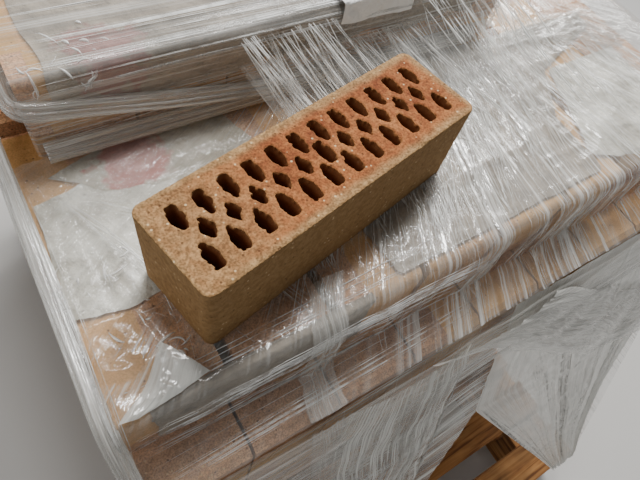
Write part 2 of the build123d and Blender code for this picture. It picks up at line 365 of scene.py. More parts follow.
def crease_family(drape, count, start, end, seed, steps=15, wander=3 * MM, length=(0.35, 1.0)):
    """Lines on a drape, in loose bundles.

    start and end give the (run, across) places of a line's two ends for a share from 0 to 1, and length says
    which shares of the way between them a line may cover.
    """
    chance = np.random.default_rng(seed)
    lines, girths = [], []
    while len(lines) < count:
        middle, skew, bow = chance.random(), chance.normal(0, 0.035), chance.normal(0, 2.2) * wander
        for number in range(chance.integers(3, 13)):
            spread = chance.normal(0, 0.018)
            along_0, across_0 = start(np.clip(middle + spread, 0, 1))
            along_1, across_1 = end(np.clip(middle + skew + spread * chance.uniform(0.1, 1.6), 0, 1))
            reach = chance.uniform(*length)
            first = chance.uniform(0, 1 - reach)
            t = np.linspace(first, first + reach, steps)
            along = along_0 + (along_1 - along_0) * t
            across = across_0 + (across_1 - across_0) * t + bow * np.sin(t * pi)
            across = across + wander * noise(seed, t * 2.3, number * 1.7 + middle * 90)
            thick = 0.22 + 0.78 * chance.random() ** 3
            taper = np.sin(np.linspace(0.02, pi - 0.02, steps)) ** 0.4
            lines.append(drape.place(along, across, 0.7 * MM))
            girths.append(thick * taper)
    return lines, girths


def curl_places(drape, low, high, first, last, count, seed):
    """Short curled creases of slack wrap, between two distances across a drape and two runs along it; their
    white film is partly painted glint.
    """
    chance = np.random.default_rng(seed)
    steps = 12
    lines, girths = [], []
    for _ in range(count):
        size = chance.uniform(7, 24) * MM
        across, along = chance.uniform(low, high), chance.uniform(first, last)
        begin, sweep, tilt = chance.uniform(0, tau), chance.uniform(0.5, 1.5), chance.uniform(0, pi)
        turn = np.linspace(begin, begin + sweep, steps)
        round_x, round_y = size * np.cos(turn), 0.5 * size * np.sin(turn)
        x = across + round_x * np.cos(tilt) - round_y * np.sin(tilt)
        y = np.clip(along + round_x * np.sin(tilt) + round_y * np.cos(tilt), 0, last)
        lines.append(drape.place(y, x, 0.5 * MM))
        girths.append(chance.uniform(0.8, 2.2) * np.sin(np.linspace(0.05, pi - 0.05, steps)))
    return lines, girths


def together(*families):
    """The lines and the girths of several families of creases."""
    lines, girths = [], []
    for more_lines, more_girths in families:
        lines += more_lines
        girths += more_girths
    return lines, girths


# Materials

# A colour Mix node takes its factor on socket 0 and its colours on 6 and 7, and gives its result on socket 2
MIX = {"data_type": "RGBA", "output": 2}
MULTIPLY = {"blend_type": "MULTIPLY", **MIX}


def linear(hex_colour, alpha=1.0):
    """A hex sRGB colour as the linear RGBA that shaders take."""
    values = [int(hex_colour[i:i + 2], 16) / 255 for i in (1, 3, 5)]
    return tuple(v / 12.92 if v <= 0.04045 else ((v + 0.055) / 1.055) ** 2.4 for v in values) + (alpha,)


def grey(value):
    """A grey level as RGBA, for a factor or a multiplier."""
    return (value, value, value, 1)


def add_node(tree, kind, inputs=None, stops=(), output=0, **settings):
    """Adds one node with its settings, a colour ramp's stops, its values and its links; gives one output."""
    node = tree.nodes.new(kind)
    for name, value in settings.items():
        setattr(node, name, value)
    if stops:
        elements = node.color_ramp.elements
        while len(elements) < len(stops):
            elements.new(0.5)
        for element, (place, colour) in zip(elements, stops):
            element.position = place
            element.color = colour
    for name, value in (inputs or {}).items():
        if isinstance(value, bpy.types.NodeSocket):
            tree.links.new(value, node.inputs[name])
        else:
            node.inputs[name].default_value = value
    return node.outputs[output] if node.outputs else None


def new_material(name, paint, *given, **more):
    """A material whose Principled shader takes the values and links that a paint function gives for it."""
    material = bpy.data.materials.new(name)
    material.use_nodes = True
    tree = material.node_tree
    tree.nodes.clear()
    shader = add_node(tree, "ShaderNodeBsdfPrincipled", paint(tree, *given, **more))
    add_node(tree, "ShaderNodeOutputMaterial", {"Surface": shader})
    return material


def fired_clay(tree, light, mid, dark, per_brick=None, rim=None):
    """Fired clay, extruded and wire cut: dull, sandy, mottled by the kiln, with cream grit and small pits,
    the pits darkened with painted shade.

    per_brick is how much the shades of stacked bricks differ. rim is the two ashy colours that the loose
    brick has at the edges of its wire-cut face; where rim is given, the walls of the brick's holes also get
    painted shade.
    """
    place = add_node(tree, "ShaderNodeTexCoord", output="Object")
    layers = []
    for size, detail in ((38, 4.0), (5, 6.0), (1.6, 3.0)):
        spread = {"Vector": place, "Scale": 1 / (size * MM), "Detail": detail}
        layers.append(add_node(tree, "ShaderNodeTexNoise", spread))
    kiln, grain, sand = layers
    patches = add_node(tree, "ShaderNodeMix", {0: 0.45, 6: kiln, 7: grain}, **MIX)
    mottle = ((0.36, dark), (0.5, mid), (0.62, light))
    colour = add_node(tree, "ShaderNodeValToRGB", {"Fac": patches}, mottle)
    if rim:
        edge = add_node(tree, "ShaderNodeAttribute", output="Fac", attribute_name="rim")
        ashes = ((0.38, linear(rim[0])), (0.62, linear(rim[1])))
        ash = add_node(tree, "ShaderNodeValToRGB", {"Fac": grain}, ashes)
        colour = add_node(tree, "ShaderNodeMix", {0: edge, 6: colour, 7: ash}, **MIX)
    grains = ((0.36, grey(0.58)), (0.52, grey(1.0)), (0.66, grey(1.25)))
    speckle = add_node(tree, "ShaderNodeValToRGB", {"Fac": sand}, grains)
    speckled = add_node(tree, "ShaderNodeMix", {0: 0.9, 6: colour, 7: speckle}, **MULTIPLY)
    if rim:
        # The faces that the die drew are smoother and browner than the wire-cut one
        cut = add_node(tree, "ShaderNodeAttribute", output="Fac", attribute_name="wire_cut")
        brown = add_node(tree, "ShaderNodeMix", {0: 0.45, 6: colour, 7: linear("#8A6A40")}, **MIX)
        drawn = add_node(tree, "ShaderNodeMix", {0: 0.35, 6: brown, 7: speckle}, **MULTIPLY)
        speckled = add_node(tree, "ShaderNodeMix", {0: cut, 6: drawn, 7: speckled}, **MIX)
    colour = speckled
    if per_brick:
        cell = add_node(tree, "ShaderNodeVectorMath", {0: place, 1: BRICK_PITCH}, operation="SNAP")
        random = add_node(tree, "ShaderNodeTexWhiteNoise", {"Vector": cell})
        shades = ((0, grey(1 - per_brick)), (1, grey(1 + per_brick)))
        shade = add_node(tree, "ShaderNodeValToRGB", {"Fac": random}, shades)
        colour = add_node(tree, "ShaderNodeMix", {0: 1.0, 6: colour, 7: shade}, **MULTIPLY)
        chosen = ((0.42, grey(0.0)), (0.6, grey(0.75)))
        ochre = add_node(tree, "ShaderNodeValToRGB", {"Fac": random.node.outputs["Color"]}, chosen)
        some_ochre = {0: ochre, 6: colour, 7: linear("#C79A56")}
        colour = add_node(tree, "ShaderNodeMix", some_ochre, **MIX)
    grit = add_node(tree, "ShaderNodeTexVoronoi", {"Vector": place, "Scale": 1 / (4.5 * MM)})
    some = ((0.72, grey(0)), (0.76, grey(1)))
    chosen = add_node(tree, "ShaderNodeValToRGB", {"Fac": grit.node.outputs["Color"]}, some)
    dots = ((0.14, grey(0.85)), (0.24, grey(0)))
    spot = add_node(tree, "ShaderNodeValToRGB", {"Fac": grit}, dots)
    spot = add_node(tree, "ShaderNodeMix", {0: 1.0, 6: spot, 7: chosen}, **MULTIPLY)
    colour = add_node(tree, "ShaderNodeMix", {0: spot, 6: colour, 7: linear("#D9BE93")}, **MIX)
    # Small pits, dented by the bump and darkened with painted shade
    pit = add_node(tree, "ShaderNodeTexVoronoi", {"Vector": place, "Scale": 1 / (8 * MM), "Randomness": 1.0})
    pits = ((0.06, grey(0)), (0.15, grey(1)))
    hollow = add_node(tree, "ShaderNodeValToRGB", {"Fac": pit}, pits)
    painted_pit_shade = add_node(tree, "ShaderNodeMix", {0: hollow, 6: linear("#4A2C18"), 7: colour}, **MIX)
    colour = add_node(tree, "ShaderNodeMix", {0: 0.75, 6: colour, 7: painted_pit_shade}, **MIX)
    height = add_node(tree, "ShaderNodeMix", {0: 0.5, 6: sand, 7: grain}, **MIX)
    height = add_node(tree, "ShaderNodeMix", {0: 1.0, 6: height, 7: hollow}, **MULTIPLY)
    bump = add_node(tree, "ShaderNodeBump", {"Height": height, "Strength": 0.55, "Distance": 1.1 * MM})
    # Painted shade: the walls of the holes, below their top edge, are darkened to a deep brown
    if rim:
        shaded_bore_wall = add_node(tree, "ShaderNodeAttribute", output="Fac", attribute_name="bore")
        colour = add_node(tree, "ShaderNodeMix", {0: shaded_bore_wall, 6: colour, 7: linear("#805030")}, **MIX)
    return {"Base Color": colour, "Roughness": 0.93, "Normal": bump, "Specular IOR Level": 0.25}


def sawn_pine(tree, along_y):
    """Rough sawn pine, weathered orange brown: long grain, saw fuzz, stains, boards of several shades."""
    place = add_node(tree, "ShaderNodeTexCoord", output="Object")
    squeeze = (1, 0.06, 1) if along_y else (0.06, 1, 1)
    long = add_node(tree, "ShaderNodeMapping", {"Vector": place, "Scale": squeeze})
    layers = []
    for spot, size, detail, warp in ((long, 9, 5.0, 0.6), (long, 1.2, 2.0, 0.0), (place, 90, 3.0, 0.0)):
        spread = {"Vector": spot, "Scale": 1 / (size * MM), "Detail": detail, "Distortion": warp}
        layers.append(add_node(tree, "ShaderNodeTexNoise", spread))
    ring, fuzz, stain = layers
    wood = ((0.35, linear("#7A4A22")), (0.5, linear("#B27A42")), (0.65, linear("#CB9458")))
    colour = add_node(tree, "ShaderNodeValToRGB", {"Fac": ring}, wood)
    dirty = ((0.35, grey(0.55)), (0.6, grey(1.0)))
    dirt = add_node(tree, "ShaderNodeValToRGB", {"Fac": stain}, dirty)
    colour = add_node(tree, "ShaderNodeMix", {0: 0.8, 6: colour, 7: dirt}, **MULTIPLY)
    pitch = BOARD_PITCH_ALONG if along_y else BOARD_PITCH_ACROSS
    cell = add_node(tree, "ShaderNodeVectorMath", {0: place, 1: pitch}, operation="SNAP")
    random = add_node(tree, "ShaderNodeTexWhiteNoise", {"Vector": cell})
    shades = ((0, grey(0.7)), (1, grey(1.1)))
    shade = add_node(tree, "ShaderNodeValToRGB", {"Fac": random}, shades)
    colour = add_node(tree, "ShaderNodeMix", {0: 1.0, 6: colour, 7: shade}, **MULTIPLY)
    height = add_node(tree, "ShaderNodeMix", {0: 0.5, 6: ring, 7: fuzz}, **MIX)
    bump = add_node(tree, "ShaderNodeBump", {"Height": height, "Strength": 0.6, "Distance": 0.8 * MM})
    return {"Base Color": colour, "Roughness": 0.8, "Normal": bump}


def packing_paper(tree, pale, dull, stain=None, stain_at=(0, 0, 0)):
    """Thin uncoated packing paper, damp and crumpled: matt, with painted shade in the hollows of its
    crumples, dirt specks and a faded stain.
    """
    place = add_node(tree, "ShaderNodeTexCoord", output="Object")
    layers = []
    for size, detail in ((22, 7.0), (60, 3.0)):
        spread = {"Vector": place, "Scale": 1 / (size * MM), "Detail": detail}
        layers.append(add_node(tree, "ShaderNodeTexNoise", spread))
    crumple, damp = layers
    # Painted shade: the colour goes from pale to dull with the crumples' bump, darker in their hollows, and
    # with the damp patches
    both = add_node(tree, "ShaderNodeMix", {0: 0.5, 6: crumple, 7: damp}, **MIX)
    colours = ((0.38, linear(dull)), (0.6, linear(pale)))
    colour = add_node(tree, "ShaderNodeValToRGB", {"Fac": both}, colours)
    if stain:
        ink = add_node(tree, "ShaderNodeTexNoise", {"Vector": place, "Scale": 1 / (16 * MM), "Detail": 3.0})
        apart = {0: place, 1: stain_at}
        away = add_node(tree, "ShaderNodeVectorMath", apart, output="Value", operation="DISTANCE")
        ragged = {0: ink, 1: 60 * MM, 2: away}
        reach = add_node(tree, "ShaderNodeMath", ragged, operation="MULTIPLY_ADD")
        edge = ((58 * MM, grey(0.85)), (66 * MM, grey(0)))
        share = add_node(tree, "ShaderNodeValToRGB", {"Fac": reach}, edge)
        colour = add_node(tree, "ShaderNodeMix", {0: share, 6: colour, 7: linear(stain)}, **MIX)
    speck = add_node(tree, "ShaderNodeTexVoronoi", {"Vector": place, "Scale": 1 / (16 * MM)})
    specks = ((0.05, grey(0.45)), (0.1, grey(1)))
    dirt = add_node(tree, "ShaderNodeValToRGB", {"Fac": speck}, specks)
    colour = add_node(tree, "ShaderNodeMix", {0: 0.6, 6: colour, 7: dirt}, **MULTIPLY)
    bump = add_node(tree, "ShaderNodeBump", {"Height": crumple, "Strength": 1.0, "Distance": 9 * MM})
    return {"Base Color": colour, "Roughness": 0.85, "Normal": bump}


def stretch_film(tree, clear, milky, pull_mm, streak_mm, tint="#E4E2DC", rough=0.18):
    """Blown polyethylene stretch film: clear, glossy, drawn into fine milky streaks.

    The streaks are pull_mm long and streak_mm wide, coarser than the real ones so that they show. Several
    layers lie on each other and reflect more than one would, hence the raised IOR.
    """
    pattern = add_node(tree, "ShaderNodeUVMap", uv_map="pattern")
    milk = add_node(tree, "ShaderNodeAttribute", output="Fac", attribute_name="milk")
    fine = {"Vector": pattern, "Scale": (1 / (pull_mm * MM), 1 / (streak_mm * MM), 1)}
    wide = {"Vector": pattern, "Scale": (1 / (2 * pull_mm * MM), 1 / (8 * streak_mm * MM), 1)}
    drawn = add_node(tree, "ShaderNodeMapping", fine)
    streaks = {"Vector": drawn, "Scale": 1.0, "Detail": 3.0, "Roughness": 0.6}
    streak = add_node(tree, "ShaderNodeTexNoise", streaks)
    broad = add_node(tree, "ShaderNodeMapping", wide)
    band = add_node(tree, "ShaderNodeTexNoise", {"Vector": broad, "Scale": 1.0, "Detail": 3.0})
    both = add_node(tree, "ShaderNodeMix", {0: 0.35, 6: streak, 7: band}, **MIX)
    strengths = ((0.44, grey(0.0)), (0.5, grey(0.16)), (0.55, grey(0.55)), (0.6, grey(1.0)))
    strength = add_node(tree, "ShaderNodeValToRGB", {"Fac": both}, strengths)
    # Milk over 1 is an even veil as well as stronger streaks
    over_one = {0: milk, 1: 1.0}
    veil = add_node(tree, "ShaderNodeMath", over_one, operation="SUBTRACT", use_clamp=True)
    veiled = {0: strength, 1: milk, 2: veil}
    clouded = add_node(tree, "ShaderNodeMath", veiled, operation="MULTIPLY_ADD")
    alpha = add_node(tree, "ShaderNodeMapRange", {"Value": clouded, "To Min": clear, "To Max": milky})
    bump = add_node(tree, "ShaderNodeBump", {"Height": both, "Strength": 1.0, "Distance": 0.8 * MM})
    surface = {"Base Color": linear(tint), "Alpha": alpha, "Normal": bump}
    gloss = {"Roughness": rough, "IOR": 1.9, "Specular IOR Level": 0.8}
    return surface | gloss


def creased_film_painted_glints(tree):
    """The same film where it is folded into a crease: several layers deep, so milky, and nearly white as a
    painted highlight of the glints that the creases catch.
    """
    place = add_node(tree, "ShaderNodeTexCoord", output="Object")
    broken = {"Vector": place, "Scale": 1 / (24 * MM), "Detail": 3.0}
    break_up = add_node(tree, "ShaderNodeTexNoise", broken)
    depths = ((0.38, grey(0.1)), (0.6, grey(0.8)))
    alpha = add_node(tree, "ShaderNodeValToRGB", {"Fac": break_up}, depths)
    return {"Base Color": linear("#F4F3EF"), "Roughness": 0.22, "IOR": 1.5, "Alpha": alpha}


def painted_floor(tree):
    """A plain matt studio floor."""
    return {"Base Color": linear("#C4C2BE"), "Roughness": 0.9}


# How the soft sheets lie

def pressed(x, y):
    """1 where the loose brick presses the sheets flat, 0 well away from it."""
    local_x, local_y = brick_axes(x, y)
    outside = np.maximum(np.abs(local_x) - BRICK_SIZE.x / 2, np.abs(local_y) - BRICK_SIZE.y / 2)
    return 1 - blend(outside, 2 * MM, 18 * MM)


def brick_axes(x, y):
    """Places along and across the loose brick, from its middle."""
    centre = (LOOSE_LOW + LOOSE_HIGH) / 2
    c, s = np.cos(BRICK_TURN), np.sin(BRICK_TURN)
    return (x - centre.x) * c + (y - centre.y) * s, (y - centre.y) * c - (x - centre.x) * s


def rumple(x, y):
    """How far crumpled paper stands up from the bricks, which the wrap over it follows."""
    soft = 0.5 + 0.5 * noise(300, x / 0.11, y / 0.08)
    fold = creases(x, y, 0.06, 0.045, 301)
    fine = creases(x, y, 0.021, 0.017, 302)
    return (1.6 * MM * soft + 2.2 * MM * fold + 0.9 * MM * fine) * (1 - pressed(x, y))


def top_relief(across, y, along):
    """Relief of the wrap over the top course: drawn from the apex, and fanned from the knot at the left."""
    free = 1 - pressed(across, y)
    pulled = pull_line(along, across)
    dense = blend(across, -0.26, -0.04)
    ridge = 1.7 * MM * creases(along, pulled, 0.22, 0.0085, 3)
    ridge = ridge + 0.9 * MM * creases(along, pulled, 0.1, 0.0035, 4)
    ridge = ridge + 3 * MM * creases(along, pulled, 0.3, 0.034, 5)
    turn = np.arctan2(y - KNOT.y, across - KNOT.x) * 0.14
    fan = 1.8 * MM * creases(along, turn, 0.3, 0.012, 6)
    return rumple(across, y) + 1.0 * MM + free * (ridge * (0.3 + 0.7 * dense) + fan * (1 - dense))


def upper_relief(across, y, along):
    """Relief of the wrap over the part course, drawn from side to side."""
    broad = 6 * MM * (0.5 + 0.5 * noise(43, across / 0.13, along / 0.05))
    ridge = 1.6 * MM * creases(across, along, 0.3, 0.010, 41)
    ridge = ridge + 0.9 * MM * creases(across, along, 0.12, 0.0045, 42)
    return 1.2 * MM + broad + ridge


def front_relief(across, y, along):
    """Relief of the wrap down the front, which sags between the ledge and the pallet's edge."""
    share = np.clip(along / FRONT_RUN, 0, 1)
    sag = -14 * MM * np.sin(share * pi) ** 0.8
    broad = 6 * MM * noise(23, across / 0.14, along / 0.16) * np.sin(share * pi)
    ridge = 1.5 * MM * creases(across, along, 0.35, 0.012, 24)
    ridge = ridge + 0.8 * MM * creases(across, along, 0.15, 0.005, 25)
    return 1.5 * MM + sag + broad + ridge


def side_relief(across, along, seed):
    """Relief of the wrap down a side or the back, drawn round the load in level turns."""
    broad = 3.5 * MM * (0.5 + 0.5 * noise(seed, across / 0.16, along / 0.07))
    ridge = creases(across, along, 0.5, 0.013, seed + 1) + 0.6 * creases(across, along, 0.2, 0.0055, seed + 2)
    return 1.0 * MM + broad + 1.7 * MM * ridge


TOP_DRAPE = Drape(
    [
        (TOP_HIGH.y, WRAP_LEVEL),
        (TIER_FRONT - 3 * MM, WRAP_LEVEL),
        (TIER_FRONT - 6 * MM, WRAP_LEVEL - 12 * MM),
        (TIER_FRONT - 8 * MM, LEDGE_TOP + 24 * MM),
        (LEDGE_FRONT - 3 * MM, LEDGE_TOP + 3 * MM),
    ],
    9 * MM,
    top_relief,
)
UPPER_DRAPE = Drape(
    [
        (PART_HIGH.y + 3 * MM, TIER_TOP + 5 * MM),
        (PART_HIGH.y + 3 * MM, PART_HIGH.z + 3 * MM),
        (PART_LOW.y - 3 * MM, PART_HIGH.z + 3 * MM),
        (PART_LOW.y - 4 * MM, TIER_TOP + 6 * MM),
    ],
    15 * MM,
    upper_relief,
)
FRONT_DRAPE = Drape(
    [
        (LEDGE_FRONT - 2 * MM, LEDGE_TOP + 1 * MM),
        (PALLET_FRONT - 2 * MM, DECK_TOP + 1 * MM),
        (PALLET_FRONT - 2 * MM, HEM_LEVEL),
    ],
    6 * MM,
    front_relief,
)


def window_edge(z):
    """Left and right edge of the window in the front wrap at a level."""
    share = np.clip((WINDOW_PEAK.z - z) / (WINDOW_PEAK.z - DECK_TOP), 0, 1.1)
    left = WINDOW_PEAK.x - (WINDOW_PEAK.x - WINDOW_FOOT_LEFT) * share
    right = WINDOW_PEAK.x + (WINDOW_FOOT_RIGHT - WINDOW_PEAK.x) * share
    return left, right


def beside_window(width, foot, slack):
    """The flat area of a front sheet that is this wide above the window and narrows to its foot beside it."""
    above, beside = LEDGE_TOP - WINDOW_PEAK.z, WINDOW_PEAK.z - DECK_TOP
    return float((width * above + (width + foot) / 2 * beside) * slack)


# Sheets of stretch wrap: each function gives the mesh, the flat size, and the flat area where it is less

def wrap_over_top():
    """Wrap over the top course, round its front edge and down to the ledge."""
    side = HALF_WIDTH - 2 * MM
    along, across = net(140, 390, (0, TOP_DRAPE.length), (-side, side))
    points = TOP_DRAPE.place(along, across)
    points[..., 2] -= 6 * MM * blend(np.abs(across), HALF_WIDTH - 14 * MM, HALF_WIDTH)
    cloud = 0.85 + 0.35 * noise(8, across / 0.12, along / 0.12)
    milk = (0.25 + 0.8 * blend(across, -0.24, -0.06)) * cloud
    # Clear in the oval where it clings, and hazy round that
    from_cling = np.hypot(
        (across - CLING_AT.x) / CLING_REACH.x, (points[..., 1] - CLING_AT.y) / CLING_REACH.y
    )
    milk = milk + 0.6 * blend(from_cling, 3.0, 1.1) - 1.1 * blend(from_cling, 1.05, 0.95)
    milk = np.maximum(milk, 0)
    # Thin down the front at the left, veiled at the right
    riser = blend(along, TOP_RUN - 2 * MM, TOP_RUN + 8 * MM)
    veiled = blend(across, -0.2, 0.02)
    milk = milk * (1 - 0.65 * riser * (1 - 0.6 * veiled)) + 0.42 * riser * veiled
    pattern = columns_of(along, pull_line(along, across))
    mesh = facing(grid_mesh("wrap_over_top", points, pattern, milk), (0, -0.5, 1))
    return mesh, (2 * HALF_WIDTH, TOP_DRAPE.length), None


def wrap_right_top_sheet():
    """Wrap over the top course to the right of the part course."""
    low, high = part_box("wrap_top_right")
    y, x = net(80, 110, (low.y, high.y), (low.x, high.x))
    ridge = 1.7 * MM * creases(y, x, 0.25, 0.0085, 13) + 2.5 * MM * creases(y, x, 0.3, 0.034, 15)
    points = columns_of(x, y, WRAP_LEVEL + 1.0 * MM + rumple(x, y) + ridge)
    mesh = facing(grid_mesh("wrap_right_top_sheet", points, columns_of(-y, x), 0.8), (0, 0, 1))
    return mesh, (float(high.x - low.x), float(high.y - low.y)), None


def wrap_upper_sheet():
    """Wrap over the part course, folded round both of its ends."""
    low, high = PART_LOW.x - 2 * MM, PART_HIGH.x + 2 * MM
    along, spread = net(240, 96, (0, UPPER_DRAPE.length), (low - END_FOLD, high + END_FOLD))
    over = np.maximum(low - spread, 0) + np.maximum(spread - high, 0)
    across = np.clip(spread, low, high)
    points = UPPER_DRAPE.place(along, across, -over)
    milk = 0.55 + 0.35 * noise(46, across / 0.15, along / 0.05)
    mesh = facing(grid_mesh("wrap_upper_sheet", points, columns_of(spread, along), milk), (0, -0.5, 1))
    return mesh, (float(high - low + 2 * END_FOLD), UPPER_DRAPE.length), None


def wrap_bridge_sheet():
    """Wrap drawn straight from the part course's front edge to the top in front of it."""
    down, across = net(26, 170, (0, 1), (BRIDGE_LEFT, PART_HIGH.x))
    reach = 0.085 + 0.03 * noise(240, across / 0.06, 0.0)
    top = PART_HIGH.z - BRIDGE_DROP
    z = top + (WRAP_LEVEL + 3 * MM - top) * down ** 0.9
    z += 1.5 * MM * creases(down * 0.1, across, 0.2, 0.007, 241) * np.sin(down * pi)
    points = columns_of(across + 0.4 * reach * down, PART_LOW.y - 8 * MM - reach * down, z)
    milk = 0.55 - 0.35 * blend(across, 0.0, 0.1)
    mesh = grid_mesh("wrap_bridge_sheet", points, columns_of(down * 0.12, across), milk)
    return facing(mesh, (0, -1, 1)), (float(PART_HIGH.x - BRIDGE_LEFT), BRIDGE_RUN), None


def wrap_front_sheet():
    """Wrap down the front, left of the window that shows the deck."""
    along, across = net(170, 90, (0, FRONT_DRAPE.length))
    left = -HALF_WIDTH + 2 * MM
    x = left + across * (window_edge(FRONT_DRAPE.level(along))[0] - left)
    points = FRONT_DRAPE.place(along, x)
    lean = x + 0.16 * along
    curtain = blend(lean, -0.27, -0.17) * (0.8 + 0.2 * noise(27, lean / 0.03, along / 0.4))
    milk = 0.45 + 0.85 * curtain + 0.2 * noise(26, x / 0.2, along / 0.06)
    mesh = facing(grid_mesh("wrap_front_sheet", points, columns_of(x, along), milk), (0, -1, 0))
    width = WINDOW_PEAK.x + HALF_WIDTH
    area = beside_window(width, WINDOW_FOOT_LEFT + HALF_WIDTH, 1.1)
    return mesh, (float(width), FRONT_DRAPE.length), area


def wrap_fan_sheet():
    """Wrap right of the window, gathered into the pallet's front right corner."""
    along, across = net(110, 220, (0, FRONT_DRAPE.length))
    right = HALF_WIDTH - 2 * MM
    edge = window_edge(FRONT_DRAPE.level(along))[1]
    gather = 1 + 2 * blend(along, 0.1, FRONT_RUN)
    pleat = 1.5 * MM * gather * creases(along, across * 0.4, 0.6, 0.016, 31)
    points = FRONT_DRAPE.place(along, edge + across * (right - edge), pleat)
    milk = 1.75 + 0.2 * blend(along, 0.2, FRONT_RUN) + 0.1 * noise(33, across * 4, along / 0.3)
    mesh = facing(grid_mesh("wrap_fan_sheet", points, columns_of(along, across * 0.4), milk), (0, -1, 0))
    width = right - WINDOW_PEAK.x
    area = beside_window(width, right - WINDOW_FOOT_RIGHT, 1.15)
    return mesh, (float(width), FRONT_DRAPE.length), area


def wrap_side_sheet(name, side, seed):
    """Wrap down one side, in level turns; side is -1 or 1."""
    z, back = net(170, 60, (HEM_LEVEL, WRAP_LEVEL))
    levels = [HEM_LEVEL, DECK_TOP, LEDGE_TOP, TIER_TOP]
    front = np.interp(z, levels, [PALLET_FRONT, PALLET_FRONT, LEDGE_FRONT - 2 * MM, TIER_FRONT - 4 * MM])
    y = front + (-PALLET_FRONT - front) * back
    x = side * (HALF_WIDTH + side_relief(y, z, seed))
    milk = 0.45 + 0.3 * noise(seed + 5, y / 0.3, z / 0.1)
    mesh = facing(grid_mesh(name, columns_of(x, y, z), columns_of(y, z), milk), (side, 0, 0))
    return mesh, (float(WRAP_LEVEL - HEM_LEVEL), SIDE_DEPTH), None


def wrap_back_sheet():
    """Wrap down the back, in level turns."""
    z, x = net(170, 50, (HEM_LEVEL, WRAP_LEVEL), (-HALF_WIDTH, HALF_WIDTH))
    y = -PALLET_FRONT + side_relief(x, z, 65)
    milk = 0.45 + 0.3 * noise(70, x / 0.3, z / 0.1)
    mesh = facing(grid_mesh("wrap_back_sheet", columns_of(x, y, z), columns_of(x, z), milk), (0, 1, 0))
    return mesh, (2 * HALF_WIDTH, float(WRAP_LEVEL - HEM_LEVEL)), None


# Creases on the sheets: each function gives lines and girths

def top_creases():
    """Creases that the pull raises in the wrap over the top course."""
    edge, full = TOP_RUN, TOP_DRAPE.length
    fanned_from_apex = crease_family(
        TOP_DRAPE, 420, lambda s: (0.0, PULL_APEX.x + APEX_RUN * (1.9 * s - 0.95)),
        lambda s: (edge, PULL_APEX.x + (edge + APEX_RUN) * (1.5 * s - 0.95)), 201,
        steps=16, length=(0.2, 1.0),
    )
    down_to_ledge = crease_family(
        TOP_DRAPE, 150, lambda s: (edge - 0.01, -0.16 + 0.54 * s), lambda s: (full, -0.17 + 0.56 * s), 202
    )
    along_front_edge = crease_family(
        TOP_DRAPE, 90, lambda s: (edge - 0.03 + 0.13 * s, -0.39),
        lambda s: (edge - 0.035 + 0.13 * s, -0.04), 203,
    )
    crumples_by_brick = crease_family(
        TOP_DRAPE, 240, lambda s: (0.13 + 0.02 * s, -0.2 + 0.24 * s), lambda s: (edge, -0.23 + 0.24 * s), 204,
        steps=8, length=(0.12, 0.4),
    )
    fanned_from_knot = crease_family(
        TOP_DRAPE, 22, lambda s: (0.04, KNOT.x), lambda s: (edge, -0.39 + 0.17 * s), 205, wander=7 * MM
    )
    left_rim = crease_family(
        TOP_DRAPE, 26, lambda s: (0.02, -HALF_WIDTH + 3 * MM + 7 * MM * s),
        lambda s: (edge + 0.05, -HALF_WIDTH + 2 * MM + 6 * MM * s), 206, wander=2 * MM, length=(0.5, 1.0),
    )
    curls = curl_places(TOP_DRAPE, -0.385, -0.315, edge - 0.13, edge - 0.02, 46, 207)
    return together(
        fanned_from_apex, down_to_ledge, along_front_edge, crumples_by_brick,
        fanned_from_knot, left_rim, curls,
    )


def upper_creases():
    """Creases drawn from side to side over the part course."""
    total, left, right = UPPER_DRAPE.length, -0.372, 0.158
    loose = crease_family(
        UPPER_DRAPE, 90, lambda s: (total - 0.25 + 0.24 * s, left),
        lambda s: (total - 0.25 + 0.24 * s, right), 211, steps=18, length=(0.2, 0.8),
    )
    at_front_edge = crease_family(
        UPPER_DRAPE, 60, lambda s: (total - 0.115 + 0.05 * s, left),
        lambda s: (total - 0.115 + 0.05 * s, right), 212, steps=18, length=(0.4, 1.0),
    )
    curls = curl_places(UPPER_DRAPE, -0.368, -0.3, total - 0.11, total - 0.058, 22, 213)
    return together(loose, at_front_edge, curls)


def bridge_creases():
    """Taut lines from the part course's front edge down to the wrap in front of it."""
    chance = np.random.default_rng(243)
    lines, girths = [], []
    for _ in range(150):
        x = BRIDGE_LEFT + 0.33 * chance.random() ** 1.4
        under_slip = SLIP_LOW.x - 4 * MM < x < SLIP_HIGH.x + 4 * MM
        top = PART_HIGH.z - (30 if under_slip else chance.uniform(0, 8)) * MM
        reach = chance.uniform(0.05, 0.17)
        start = np.array([x, PART_LOW.y - 9 * MM, top])
        end_x = x + 0.5 * reach + chance.uniform(-0.015, 0.015)
        end = np.array([end_x, PART_LOW.y - reach, WRAP_LEVEL + 2.5 * MM])
        t = np.linspace(0, 1, 9)[:, None]
        line = start + (end - start) * t
        line[:, 2] -= 3 * MM * np.sin(t[:, 0] * pi)
        lines.append(line)
        girths.append((0.4 + 0.6 * chance.random() ** 2) * np.sin(np.linspace(0.15, pi - 0.15, 9)) ** 0.3)
    return lines, girths


